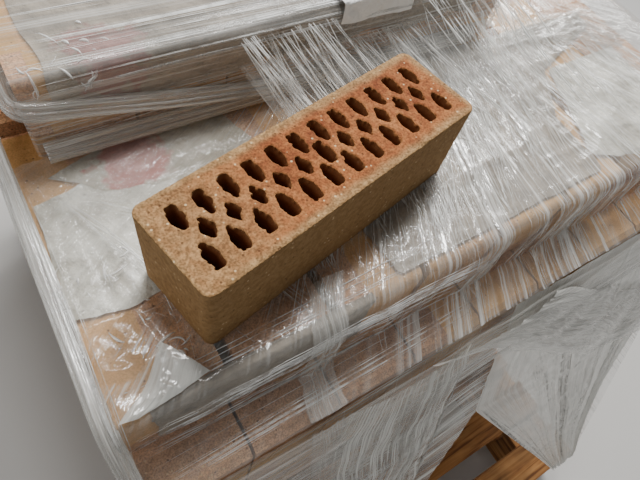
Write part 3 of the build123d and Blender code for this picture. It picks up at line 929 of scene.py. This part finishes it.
def front_creases():
    """Creases of the front wrap: level turns, the curtain by the window, and the fan with its edge."""
    foot_edge = window_edge(float(FRONT_DRAPE.level(FRONT_RUN)))[1]
    level_turns = crease_family(
        FRONT_DRAPE, 120, lambda s: (0.02 + 0.6 * s, -0.395),
        lambda s: (0.02 + 0.6 * s, -0.05 - 0.2 * s), 221, steps=16, length=(0.15, 0.6), wander=5 * MM,
    )
    curtain = crease_family(
        FRONT_DRAPE, 190, lambda s: (0.0, -0.24 + 0.2 * s), lambda s: (0.45, -0.29 + 0.17 * s), 222,
        steps=18, length=(0.3, 1.0),
    )
    fan = crease_family(
        FRONT_DRAPE, 190, lambda s: (0.02 + 0.2 * (1 - s) ** 2, 0.01 + 0.38 * s),
        lambda s: (FRONT_RUN, foot_edge + (0.002 + 0.06 * s)), 223, steps=18, length=(0.4, 1.0),
    )
    fan_edge = crease_family(
        FRONT_DRAPE, 22, lambda s: (0.225, 0.004 + 0.01 * s),
        lambda s: (FRONT_RUN, foot_edge + (0.001 + 0.006 * s)), 224,
        steps=18, length=(0.6, 1.0), wander=1.5 * MM,
    )
    return together(level_turns, curtain, fan, fan_edge)


# Gathered stretches of the wrap

def gathered_rope(name, corners, radius, flutes, seed, ease=30 * MM):
    """Wrap gathered into a fluted rope along a path."""
    rows, columns = 150, 54
    path, run = path_places(corners, rows, ease)
    forward = np.gradient(path, axis=0)
    forward /= np.linalg.norm(forward, axis=1, keepdims=True)
    start = np.array([0.0, 0.0, 1.0]) if abs(forward[0, 2]) < 0.9 else np.array([1.0, 0.0, 0.0])
    aside = np.cross(forward, start)
    aside /= np.linalg.norm(aside, axis=1, keepdims=True)
    up = np.cross(aside, forward)
    along, around = np.meshgrid(run, np.linspace(0, tau, columns), indexing="ij")
    c, s = np.cos(around), np.sin(around)
    ring = columns_of(c * 1.6, s * 1.6, along / 0.14)
    fluting = 1 - np.abs(np.cos(around * flutes / 2 + along * 6 + 1.5 * smooth_noise(ring, seed)))
    size = radius * (0.92 - 0.34 * fluting ** 2 + 0.16 * smooth_noise(ring, seed + 1))
    outward = c[..., None] * aside[:, None, :] + s[..., None] * up[:, None, :]
    points = path[:, None, :] + size[..., None] * outward
    mesh = grid_mesh(name, points, columns_of(along, around * radius), 1.0)
    return merge_doubles(mesh, mesh, closed=True), float(run[-1])


def pleated_band(
    name, drape, first_edge, second_edge, pleats, seed, lift, milk, flat_share,
    out=(0, -1, 0), fold=3 * MM, ragged=0.05,
):
    """A long band of gathered wrap on a drape between two edges, each given as (run, across) places.

    flat_share is its flat width as a share of its mean width as it lies.
    """
    rows, columns = 84, 13 * pleats
    one, _ = path_places(first_edge, rows, 20 * MM)
    two, _ = path_places(second_edge, rows, 20 * MM)
    t, share = net(rows, columns)
    uneven = ragged * noise(seed + 2, t * 14, share * 2)
    middle = one[:, None, :] + (two - one)[:, None, :] * (share + uneven)[..., None]
    girth = np.linalg.norm(two - one, axis=1)[:, None]
    crest = creases(t, share, 0.35, 1 / pleats, seed) + 0.5 * creases(t, share, 0.2, 0.4 / pleats, seed + 1)
    height = lift + np.sin(share * pi) ** 0.5 * (fold * crest + 0.05 * girth)
    points = drape.place(middle[..., 0], middle[..., 1], height)
    length = float(np.linalg.norm(np.diff(one, axis=0), axis=1).sum())
    mesh = grid_mesh(name, points, columns_of(t * length, share * girth), milk)
    return facing(mesh, out), (length, float(girth.mean()) * flat_share)


# Paper

def reach_of(corners, centre, angles):
    """How far an outline is from a centre inside it, at each angle."""
    reach = np.full(angles.shape, 1e9)
    aim = columns_of(np.cos(angles), np.sin(angles))
    for first, second in zip(corners, np.roll(corners, -1, axis=0)):
        side = second - first
        cross = aim[:, 0] * side[1] - aim[:, 1] * side[0]
        offset = first - centre
        safe = np.where(np.abs(cross) < 1e-12, 1e-12, cross)
        distance = (offset[0] * side[1] - offset[1] * side[0]) / safe
        share = (offset[0] * aim[:, 1] - offset[1] * aim[:, 0]) / safe
        good = (distance > 0) & (share >= -1e-6) & (share <= 1 + 1e-6)
        reach = np.where(good, np.minimum(reach, distance), reach)
    return reach


def torn_sheet(name, corners, level, seed, ragged):
    """A crumpled sheet on the bricks, torn inside an outline of corners, its extent and its area."""
    corners = np.array(corners, float)
    centre = corners.mean(0)
    rings, spokes = 46, 260
    angles = np.linspace(0, tau, spokes, endpoint=False)
    aim = columns_of(np.cos(angles), np.sin(angles))
    reach = reach_of(corners, centre, angles)
    rim = centre + reach[:, None] * aim
    reach = reach - ragged * (0.5 + 0.5 * layered_noise(rim / 0.014, 3, seed))
    radius = np.linspace(0, 1, rings)[:, None] * reach[None, :]
    x, y = centre[0] + radius * aim[:, 0], centre[1] + radius * aim[:, 1]
    points = columns_of(x, y, level + rumple(x, y))
    points = np.concatenate([points, points[:, :1]], axis=1)
    mesh = grid_mesh(name, points, points[..., :2])
    area = 0.5 * float(np.abs(np.sum(reach * np.roll(reach, -1)) * np.sin(tau / spokes)))
    return facing(merge_doubles(mesh, mesh), (0, 0, 1)), (float(np.ptp(x)), float(np.ptp(y))), area


def hung_sheet(name, low_x, high_x, back, front, top, drop, seed):
    """A sheet that lies on an edge and hangs down in front of it, its ends and its foot torn."""
    def crumple(x, y, along):
        return 1.2 * MM * (0.3 + (1 - np.abs(noise(seed, x / 0.03, along / 0.03))) ** 2)

    drape = Drape([(back, top), (front, top), (front, top - drop)], 4 * MM, crumple)
    along, across = net(60, 110, (0, 1), (low_x, high_x))
    foot = layered_noise(columns_of(across / 0.03, 0.0), 3, seed + 1)
    run = drape.length * (1 - 0.06 * (0.5 + 0.5 * foot))
    middle = (low_x + high_x) / 2
    ends = layered_noise(columns_of(along / 0.3, np.sign(across - middle)), 3, seed + 2)
    torn = 1 - 0.09 * (0.5 + 0.5 * ends)
    points = drape.place(along * run, middle + (across - middle) * torn)
    mesh = facing(grid_mesh(name, points, columns_of(across, along)), (0, -1, 1))
    return mesh, (float(high_x - low_x), drape.length)


# Loose brick

def brick_places(mesh):
    """Places and normals of a mesh's vertices."""
    place, normal = np.zeros(len(mesh.vertices) * 3), np.zeros(len(mesh.vertices) * 3)
    mesh.vertices.foreach_get("co", place)
    mesh.vertices.foreach_get("normal", normal)
    return place.reshape(-1, 3), normal.reshape(-1, 3)


def brick_local(place):
    """How far each place is inside the loose brick's four sides, its height and its place along the brick."""
    local_x, local_y = brick_axes(place[:, 0], place[:, 1])
    inside = np.minimum(BRICK_SIZE.x / 2 - np.abs(local_x), BRICK_SIZE.y / 2 - np.abs(local_y))
    return inside, place[:, 2] - LOOSE_LOW.z, local_x


def worn_places(place, normal):
    """Where the brick's vertices go: sandy faces, hole edges torn by the wire, and chipped top arrises."""
    inside, height, _ = brick_local(place)
    top = BRICK_SIZE.z
    moved = place + normal * (0.22 * MM * layered_noise(place / 0.004, 2, 81))[:, None]
    in_hole = blend(inside, 2 * MM, 5 * MM) * (1 - np.abs(normal[:, 2]))
    near_top = blend(height, top - 7 * MM, top - 1 * MM)
    teeth = smooth_noise(place / np.array([0.0022, 0.0022, 0.007]), 82)
    lumps = smooth_noise(place / 0.006, 85)
    torn = np.clip(1.5 * teeth + 0.7 * lumps - 0.5, -1.2, 0.6)
    moved += normal * (in_hole * near_top * 2.0 * MM * torn)[:, None]
    chip = blend(smooth_noise(place / 0.011, 83), 0.35, 0.8)
    arris = blend(inside, 4 * MM, 0) * blend(height, top - 5 * MM, top)
    moved[:, 2] -= arris * chip * 1.4 * MM
    return moved


def loose_brick_mesh():
    """The perforated brick, remeshed finely at its top, with what its clay reads at each vertex, including
    where its holes' walls get painted shade.
    """
    whole = bpy.data.meshes.new("loose_brick_clay")
    merge_doubles(bpy.data.objects["loose_brick"].data, whole, 0.01 * MM)
    body = linked("loose_brick_clay", whole)
    remesh = body.modifiers.new("even", "REMESH")
    remesh.mode = "VOXEL"
    remesh.voxel_size = 1.1 * MM
    even = made_plain(body)
    even.name = "perforated_brick"
    place, normal = brick_places(even)
    even.vertices.foreach_set("co", worn_places(place, normal).ravel())
    holder = linked("perforated_brick", even)
    lower = holder.vertex_groups.new(name="lower")
    below = 1 - blend(brick_local(place)[1], BRICK_SIZE.z - 12 * MM, BRICK_SIZE.z - 4 * MM)
    for number, weight in enumerate(below):
        if weight > 0.01:
            lower.add([number], float(weight), "REPLACE")
    thin = holder.modifiers.new("thin", "DECIMATE")
    thin.ratio = 0.25
    thin.vertex_group = "lower"
    finished = made_plain(holder)
    finished.update()
    place, normal = brick_places(finished)
    inside, height, along = brick_local(place)
    upright = np.abs(normal[:, 2])
    wobble = 3 * MM * layered_noise(place / 0.02, 2, 84)
    at_edges = blend(inside + wobble, 11 * MM, 2 * MM)
    at_left_end = 0.8 * blend(along + 2 * wobble, -30 * MM, -135 * MM)
    # The walls of the holes, which get painted shade from 5 mm below the top edge down
    shaded_bore_wall = blend(inside, 4 * MM, 8 * MM) * blend(upright, 0.75, 0.4)
    set_attribute(finished, "rim", np.maximum(at_edges, at_left_end))
    set_attribute(finished, "wire_cut", blend(normal[:, 2], 0.5, 0.9))
    set_attribute(finished, "bore", shaded_bore_wall * blend(height, BRICK_SIZE.z, BRICK_SIZE.z - 5 * MM))
    finished.shade_smooth()
    finished.set_sharp_from_angle(angle=radians(38))
    return finished


# What the wrap and the papers are made of, piece by piece

TOP_COURSE, LEDGE_COURSE, PART_COURSE = "brick_course_09", "brick_course_08", "brick_course_10"

# A paper's pale and dull colour, the dull one partly painted shade in its crumples' hollows, and the colour
# and middle of its stain where it has one
PAPERS = {
    "white": ("#D9D6CA", "#9C9686"),
    "taupe": ("#A39786", "#756A5B"),
    "stained": ("#BDB7A8", "#918975", "#B0655E", (-0.3, -0.062, 0.912)),
    "slip": ("#FAF9F5", "#EDEBE4"),
    "roof": ("#A39786", "#756A5B", "#96605A", (-0.293, -0.016, 0.98)),
}

# A film's opacity where it is clear and where it is milky, and its streaks
FILMS = {
    "top": dict(clear=0.14, milky=0.92, pull_mm=220, streak_mm=2.8, rough=0.1),
    "front": dict(clear=0.12, milky=0.88, pull_mm=160, streak_mm=2.6, tint="#D9D8D0"),
    "turns": dict(clear=0.14, milky=0.75, pull_mm=400, streak_mm=4),
    "gathered": dict(clear=0.3, milky=0.85, pull_mm=120, streak_mm=1.8, tint="#D8D6CF", rough=0.12),
}

# What makes a sheet, its film, what carries it, the node that it stands for, and where its creases are
WRAP_SHEETS = (
    (wrap_over_top, "top", TOP_COURSE, "wrap_top", ("top", top_creases)),
    (wrap_right_top_sheet, "top", TOP_COURSE, "wrap_top_right", None),
    (wrap_upper_sheet, "turns", PART_COURSE, "wrap_upper", ("upper", upper_creases)),
    (wrap_bridge_sheet, "top", PART_COURSE, None, ("bridge", bridge_creases)),
    (wrap_front_sheet, "front", LEDGE_COURSE, "wrap_front", ("front", front_creases)),
    (wrap_fan_sheet, "front", LEDGE_COURSE, "wrap_fan", None),
    (lambda: wrap_side_sheet("wrap_left_sheet", -1, 51), "turns", TOP_COURSE, "wrap_left", None),
    (lambda: wrap_side_sheet("wrap_right_sheet", 1, 57), "turns", TOP_COURSE, "wrap_right", None),
    (wrap_back_sheet, "turns", TOP_COURSE, "wrap_back", None),
)

ROPE_Y, ROPE_Z = (ROPE_LOW.y + ROPE_HIGH.y) / 2, (ROPE_LOW.z + ROPE_HIGH.z) / 2
BUNDLE_X = (BUNDLE_LOW.x + BUNDLE_HIGH.x) / 2
RIM_X, RIM_Z = -HALF_WIDTH + 1 * MM, WRAP_LEVEL + 1 * MM

# A gathered rope's flat width, what carries it, the node that it stands for, and its shape
WRAP_ROPES = (
    (
        0.028, TOP_COURSE, "wrap_rope",
        dict(
            name="wrap_gathered_rope", radius=9 * MM, flutes=7, seed=91,
            corners=[(ROPE_LOW.x, ROPE_Y, ROPE_Z + 6 * MM), (ROPE_HIGH.x, ROPE_Y, ROPE_Z + 2 * MM)],
        ),
    ),
    (
        0.031, TOP_COURSE, None,
        dict(
            name="wrap_gathered_upper", radius=9 * MM, flutes=9, seed=93, ease=26 * MM,
            corners=[
                (ROPE_LOW.x - 6 * MM, ROPE_Y + 60 * MM, ROPE_Z + 56 * MM),
                (ROPE_LOW.x - 6 * MM, ROPE_Y + 6 * MM, ROPE_Z + 50 * MM),
                (ROPE_LOW.x + 120 * MM, ROPE_Y, ROPE_Z + 27 * MM),
                (ROPE_LOW.x + 200 * MM, ROPE_Y, ROPE_Z + 13 * MM),
                (ROPE_HIGH.x, ROPE_Y, ROPE_Z + 8 * MM),
            ],
        ),
    ),
    (
        0.027, "deck_board_01", "wrap_bundle",
        dict(
            name="wrap_gathered_bundle", radius=9 * MM, flutes=7, seed=95,
            corners=[
                (BUNDLE_X, BUNDLE_HIGH.y - 9 * MM, BUNDLE_HIGH.z - 4 * MM),
                (BUNDLE_X, BUNDLE_LOW.y + 9 * MM, BUNDLE_LOW.z + 4 * MM),
            ],
        ),
    ),
    (
        0.027, TOP_COURSE, None,
        dict(
            name="wrap_gathered_edge", radius=8 * MM, flutes=8, seed=97,
            corners=[
                (RIM_X, TOP_HIGH.y + 60 * MM, RIM_Z + 6 * MM), (RIM_X, TIER_FRONT, RIM_Z - 3 * MM),
                (RIM_X, LEDGE_FRONT, LEDGE_TOP), (RIM_X, LEDGE_FRONT - 90 * MM, LEDGE_TOP - 226 * MM),
            ],
        ),
    ),
)

# A band's film, how it is held, what carries it, the node that it stands for, and its shape
WRAP_BANDS = (
    (
        "gathered", "hung", TOP_COURSE, None,
        dict(
            name="wrap_strip", drape=TOP_DRAPE, pleats=5, seed=250, lift=4 * MM, milk=0.5, flat_share=1.3,
            first_edge=[(TOP_RUN - 0.035, -0.223), (TOP_RUN, -0.242), (TOP_DRAPE.length, -0.257)],
            second_edge=[(TOP_RUN - 0.035, -0.189), (TOP_RUN, -0.209), (TOP_DRAPE.length, -0.220)],
        ),
    ),
    (
        "gathered", "hung", LEDGE_COURSE, None,
        dict(
            name="wrap_strip_foot", drape=FRONT_DRAPE, pleats=5, seed=252, lift=4 * MM, milk=0.5,
            flat_share=1.3,
            first_edge=[(0.0, -0.257), (0.7, -0.295)],
            second_edge=[(0.0, -0.220), (0.7, -0.221)],
        ),
    ),
    (
        "gathered", "laid", TOP_COURSE, None,
        dict(
            name="wrap_fold", drape=TOP_DRAPE, pleats=4, seed=262, lift=3 * MM, milk=0.7, flat_share=1.1,
            first_edge=[(0.017, 0.159), (0.009, 0.229), (0.015, 0.31), (0.05, 0.372)],
            second_edge=[(0.04, 0.147), (0.045, 0.2), (0.065, 0.26), (0.1, 0.31)],
            out=(0, 0, 1), fold=5 * MM,
        ),
    ),
    (
        "front", "laid", TOP_COURSE, None,
        dict(
            name="wrap_flap", drape=TOP_DRAPE, pleats=2, seed=264, lift=2 * MM, milk=1.7, flat_share=1.1,
            first_edge=[(TOP_RUN - 0.001, -0.392), (TOP_RUN - 0.016, -0.366), (TOP_RUN - 0.045, -0.342)],
            second_edge=[(TOP_RUN - 0.001, -0.38), (TOP_RUN - 0.003, -0.346), (TOP_RUN - 0.008, -0.318)],
            out=(0, 0, 1), fold=1.5 * MM, ragged=0.01,
        ),
    ),
    (
        "front", "hung", LEDGE_COURSE, None,
        dict(
            name="wrap_curtain", drape=FRONT_DRAPE, pleats=11, seed=258, lift=5 * MM, milk=1.15,
            flat_share=1.1,
            first_edge=[(0.0, -0.225), (0.73, -0.34)],
            second_edge=[(0.0, -0.055), (0.3, -0.11), (0.73, -0.235)],
        ),
    ),
    (
        "gathered", "hung", LEDGE_COURSE, None,
        dict(
            name="wrap_swag", drape=FRONT_DRAPE, pleats=9, seed=254, lift=9 * MM, milk=1.35, flat_share=0.85,
            first_edge=[(0.0, -0.12), (0.03, -0.05), (0.13, 0.075), (0.26, 0.24), (0.3, 0.392)],
            second_edge=[(0.0, 0.06), (0.02, 0.1), (0.06, 0.16), (0.13, 0.27), (0.2, 0.392)],
        ),
    ),
    (
        "gathered", "stretched", LEDGE_COURSE, "wrap_band",
        dict(
            name="wrap_band_turns", drape=FRONT_DRAPE, pleats=6, seed=256, lift=4 * MM, milk=0.4,
            flat_share=1.3,
            first_edge=[(0.012, -0.39), (0.012, 0.39)],
            second_edge=[(0.085, -0.39), (0.085, 0.39)],
        ),
    ),
)

# A laid paper's node, its finish, how ragged it is in mm, and its corners in mm from the load's front left
LAID_PAPERS = (
    ("paper_left", "white", 4, [(0, 86), (4, 200), (72, 210), (124, 190), (128, 118), (104, 84), (40, 78)]),
    ("paper_pink", "stained", 5, [(22, 222), (70, 240), (194, 238), (208, 188), (126, 174), (58, 190)]),
    ("paper_right", "white", 5, [(530, 30), (589, 8), (700, 54), (712, 160), (585, 158)]),
    (
        "paper_cover", "taupe", 2,
        [(250, 8), (530, 12), (537, 90), (582, 160), (700, 165), (712, 228), (300, 238), (240, 120)],
    ),
)

# A hung paper's node, its finish, what carries it, its back, its face, its top and how far it hangs down
HUNG_PAPERS = (
    (
        "paper_apron", "taupe", TOP_COURSE,
        TIER_FRONT + 7 * MM, TIER_FRONT - 1 * MM, TIER_TOP + 0.6 * MM, 78 * MM,
    ),
    (
        "paper_roof", "roof", PART_COURSE,
        PART_LOW.y + 240 * MM, PART_LOW.y - 1 * MM, PART_HIGH.z + 0.6 * MM, 50 * MM,
    ),
    (
        "paper_slip", "slip", PART_COURSE,
        SLIP_HIGH.y, SLIP_LOW.y - 3 * MM, SLIP_HIGH.z + 5 * MM, 26 * MM,
    ),
)

# A light's name, its place, its size and its power; the window light's power is a setting
LIGHTS = (
    ("window_light", (1.6, 1.5, 3.0), 1.4, None),
    ("right_light", (3.0, 1.4, 2.4), 1.2, 40.0),
    ("overhead_light", (0.1, 0.5, 3.2), 0.35, 26.0),
    ("near_skylight", (0.8, 0.75, 3.1), 0.3, 26.0),
    ("far_skylight", (1.5, 1.25, 2.6), 0.3, 24.0),
    ("left_light", (-2.2, 0.2, 2.0), 1.6, 16.0),
    ("front_fill", (0.2, -2.6, 1.4), 2.0, 5.0),
)
LIT_POINT = Vector((0.0, -0.1, 0.9))
FLOOR_SIZE = 12.0


# Settings that a user would change

def radius_setting(where, default):
    """A setting for how thick the largest creases of one stretch of wrap are."""
    return bpy.props.FloatProperty(
        name=where + " crease radius",
        description="Radius of the largest creases of the wrap " + where.lower(),
        default=default,
        subtype="DISTANCE",
        unit="LENGTH",
    )


def clay_setting(which, hex_colour):
    """A setting for one of the colours that the loose brick's clay is mottled with."""
    return bpy.props.FloatVectorProperty(
        name=which + " facing clay",
        description=which + " colour of the loose brick's clay",
        size=4,
        min=0.0,
        max=1.0,
        default=linear(hex_colour),
        subtype="COLOR",
    )


class PalletSizes(bpy.types.PropertyGroup):
    """Sizes, colours and light that a user would change"""

    top_crease: radius_setting("Over the top", 0.62 * MM)
    upper_crease: radius_setting("Over the part course", 0.75 * MM)
    bridge_crease: radius_setting("On the bridge", 1.0 * MM)
    front_crease: radius_setting("Down the front", 0.7 * MM)
    light_clay: clay_setting("Light", "#A66C40")
    mid_clay: clay_setting("Middle", "#945932")
    dark_clay: clay_setting("Dark", "#773F22")
    window_light: bpy.props.FloatProperty(
        name="Window light",
        description="Power of the large soft light behind the load",
        default=72.0,
        unit="POWER",
    )


# Operators

class PALLET_OT_clay_and_wood(bpy.types.Operator):
    """Gives the stacked bricks and the pallet's boards their finish"""

    bl_idname = "brick_pallet.clay_and_wood"
    bl_label = "Bricks and pallet"

    def execute(self, context):
        shades = [linear(colour) for colour in ("#D0A279", "#C0906A", "#9E7450")]
        clay = new_material("fired_clay_stack", fired_clay, *shades, per_brick=0.16)
        along = new_material("sawn_pine_along", sawn_pine, True)
        across = new_material("sawn_pine_across", sawn_pine, False)
        finishes = {"brick": clay, "deck": across, "stringer": along, "bottom": along, "block": along}
        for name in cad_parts:
            finish = finishes.get(name.split("_")[0])
            if finish:
                mesh = bpy.data.objects[name].data
                mesh.materials.clear()
                mesh.materials.append(finish)
        return {"FINISHED"}


class PALLET_OT_loose_brick(bpy.types.Operator):
    """Makes the perforated brick that lies on the wrap"""

    bl_idname = "brick_pallet.loose_brick"
    bl_label = "Loose brick"

    def execute(self, context):
        sizes = context.scene.pallet_sizes
        shades = [tuple(colour) for colour in (sizes.light_clay, sizes.mid_clay, sizes.dark_clay)]
        clay = new_material("fired_clay_facing", fired_clay, *shades, rim=("#8F6C46", "#AA875C"))
        piece = show("perforated_brick", loose_brick_mesh(), clay)
        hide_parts("loose_brick")
        return {"FINISHED"}


class PALLET_OT_paper(bpy.types.Operator):
    """Lays the packing paper under the wrap"""

    bl_idname = "brick_pallet.paper"
    bl_label = "Packing paper"

    def execute(self, context):
        finishes = {
            kind: new_material("packing_paper_" + kind, packing_paper, *colours)
            for kind, colours in PAPERS.items()
        }
        for number, (node, finish, ragged, corners) in enumerate(LAID_PAPERS):
            places = [(LEDGE_LOW.x + x * MM, TIER_FRONT + y * MM) for x, y in corners]
            level = TIER_TOP + 0.4 * MM + 0.25 * MM * number
            mesh, flat, area = torn_sheet(node + "_sheet", places, level, 100 + 7 * number, ragged * MM)
            piece = show(node + "_sheet", mesh, finishes[finish])
            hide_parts(node)
        for number, (node, finish, carrier, back, face, top, drop) in enumerate(HUNG_PAPERS):
            low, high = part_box(node)
            mesh, flat = hung_sheet(node + "_sheet", low.x, high.x, back, face, top, drop, 150 + 5 * number)
            piece = show(node + "_sheet", mesh, finishes[finish])
            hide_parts(node)
        return {"FINISHED"}


class PALLET_OT_wrap(bpy.types.Operator):
    """Draws the stretch wrap over the load and down to the pallet"""

    bl_idname = "brick_pallet.wrap"
    bl_label = "Stretch wrap"

    def execute(self, context):
        sizes = context.scene.pallet_sizes
        # The creases' near-white film is partly painted highlight for their glints
        creased = new_material("stretch_film_creased", creased_film_painted_glints)
        films = {
            kind: new_material("stretch_film_" + kind, stretch_film, **looks)
            for kind, looks in FILMS.items()
        }

        def wrap_piece(mesh, film, node):
            piece = show(mesh.name, mesh, films[film])
            if node:
                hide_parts(node)
            return piece

        for make, film, carrier, node, creasing in WRAP_SHEETS:
            mesh, flat, area = make()
            piece = wrap_piece(mesh, film, node)
            if creasing:
                where, places = creasing
                radius = getattr(sizes, where + "_crease")
                raised = crease_mesh("wrap_creases_" + where, *places(), radius, creased)
                show(raised.name, raised, creased)
        for width, carrier, node, shape in WRAP_ROPES:
            mesh, length = gathered_rope(**shape)
            piece = wrap_piece(mesh, "gathered", node)
        for film, held, carrier, node, shape in WRAP_BANDS:
            mesh, flat = pleated_band(**shape)
            piece = wrap_piece(mesh, film, node)
        return {"FINISHED"}


class PALLET_OT_stage(bpy.types.Operator):
    """Sets the floor, the soft lights and the camera"""

    bl_idname = "brick_pallet.stage"
    bl_label = "Stage"

    def execute(self, context):
        scene = context.scene
        floor = bmesh.new()
        bmesh.ops.create_grid(floor, x_segments=1, y_segments=1, size=FLOOR_SIZE / 2)
        mesh = bpy.data.meshes.new("studio_floor")
        floor.to_mesh(mesh)
        floor.free()
        mesh.materials.append(new_material("studio_floor_paint", painted_floor))
        linked("studio_floor", mesh)

        for name, place, size, power in LIGHTS:
            lamp = bpy.data.lights.new(name, "AREA")
            lamp.energy = scene.pallet_sizes.window_light if power is None else power
            lamp.size = size
            holder = linked(name, lamp)
            holder.location = place
            holder.rotation_euler = (LIT_POINT - Vector(place)).to_track_quat("-Z", "Y").to_euler()

        world = bpy.data.worlds.new("soft_room")
        world.use_nodes = True
        glow = world.node_tree.nodes["Background"].inputs
        glow["Color"].default_value = linear("#E6E8EA")
        glow["Strength"].default_value = 0.22
        scene.world = world

        lens = bpy.data.cameras.new("photo_camera")
        lens.sensor_width = SENSOR_WIDTH_MM
        lens.lens = SENSOR_WIDTH_MM * PHOTO_FOCAL_PX / PHOTO_WIDTH_PX
        lens.clip_start = 20 * MM
        camera = linked("photo_camera", lens)
        back = -PHOTO_FORWARD.normalized()
        right = (PHOTO_RIGHT - PHOTO_RIGHT.dot(back) * back).normalized()
        turn = Matrix((right, back.cross(right), back)).transposed().to_4x4()
        camera.matrix_world = Matrix.Translation(PHOTO_EYE) @ turn
        scene.camera = camera
        return {"FINISHED"}


class PALLET_PT_panel(bpy.types.Panel):
    """Lists the pallet's pieces and settings"""

    bl_label = "Brick pallet"
    bl_idname = "PALLET_PT_panel"
    bl_space_type = "VIEW_3D"
    bl_region_type = "UI"
    bl_category = "Brick pallet"

    def draw(self, context):
        for operator in OPERATORS:
            self.layout.operator(operator.bl_idname)
        for name in PalletSizes.__annotations__:
            self.layout.prop(context.scene.pallet_sizes, name)


OPERATORS = (
    PALLET_OT_clay_and_wood,
    PALLET_OT_loose_brick,
    PALLET_OT_paper,
    PALLET_OT_wrap,
    PALLET_OT_stage,
)
CLASSES = (PalletSizes, *OPERATORS, PALLET_PT_panel)


def register():
    """Adds the operators, the panel and their settings to Blender."""
    for cls in CLASSES:
        bpy.utils.register_class(cls)
    bpy.types.Scene.pallet_sizes = bpy.props.PointerProperty(type=PalletSizes)


def unregister():
    """Takes them away again."""
    del bpy.types.Scene.pallet_sizes
    for cls in reversed(CLASSES):
        bpy.utils.unregister_class(cls)


def main():
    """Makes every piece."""
    register()
    bpy.ops.brick_pallet.clay_and_wood()
    bpy.ops.brick_pallet.loose_brick()
    bpy.ops.brick_pallet.paper()
    bpy.ops.brick_pallet.wrap()
    bpy.ops.brick_pallet.stage()


if __name__ == "__main__":
    main()
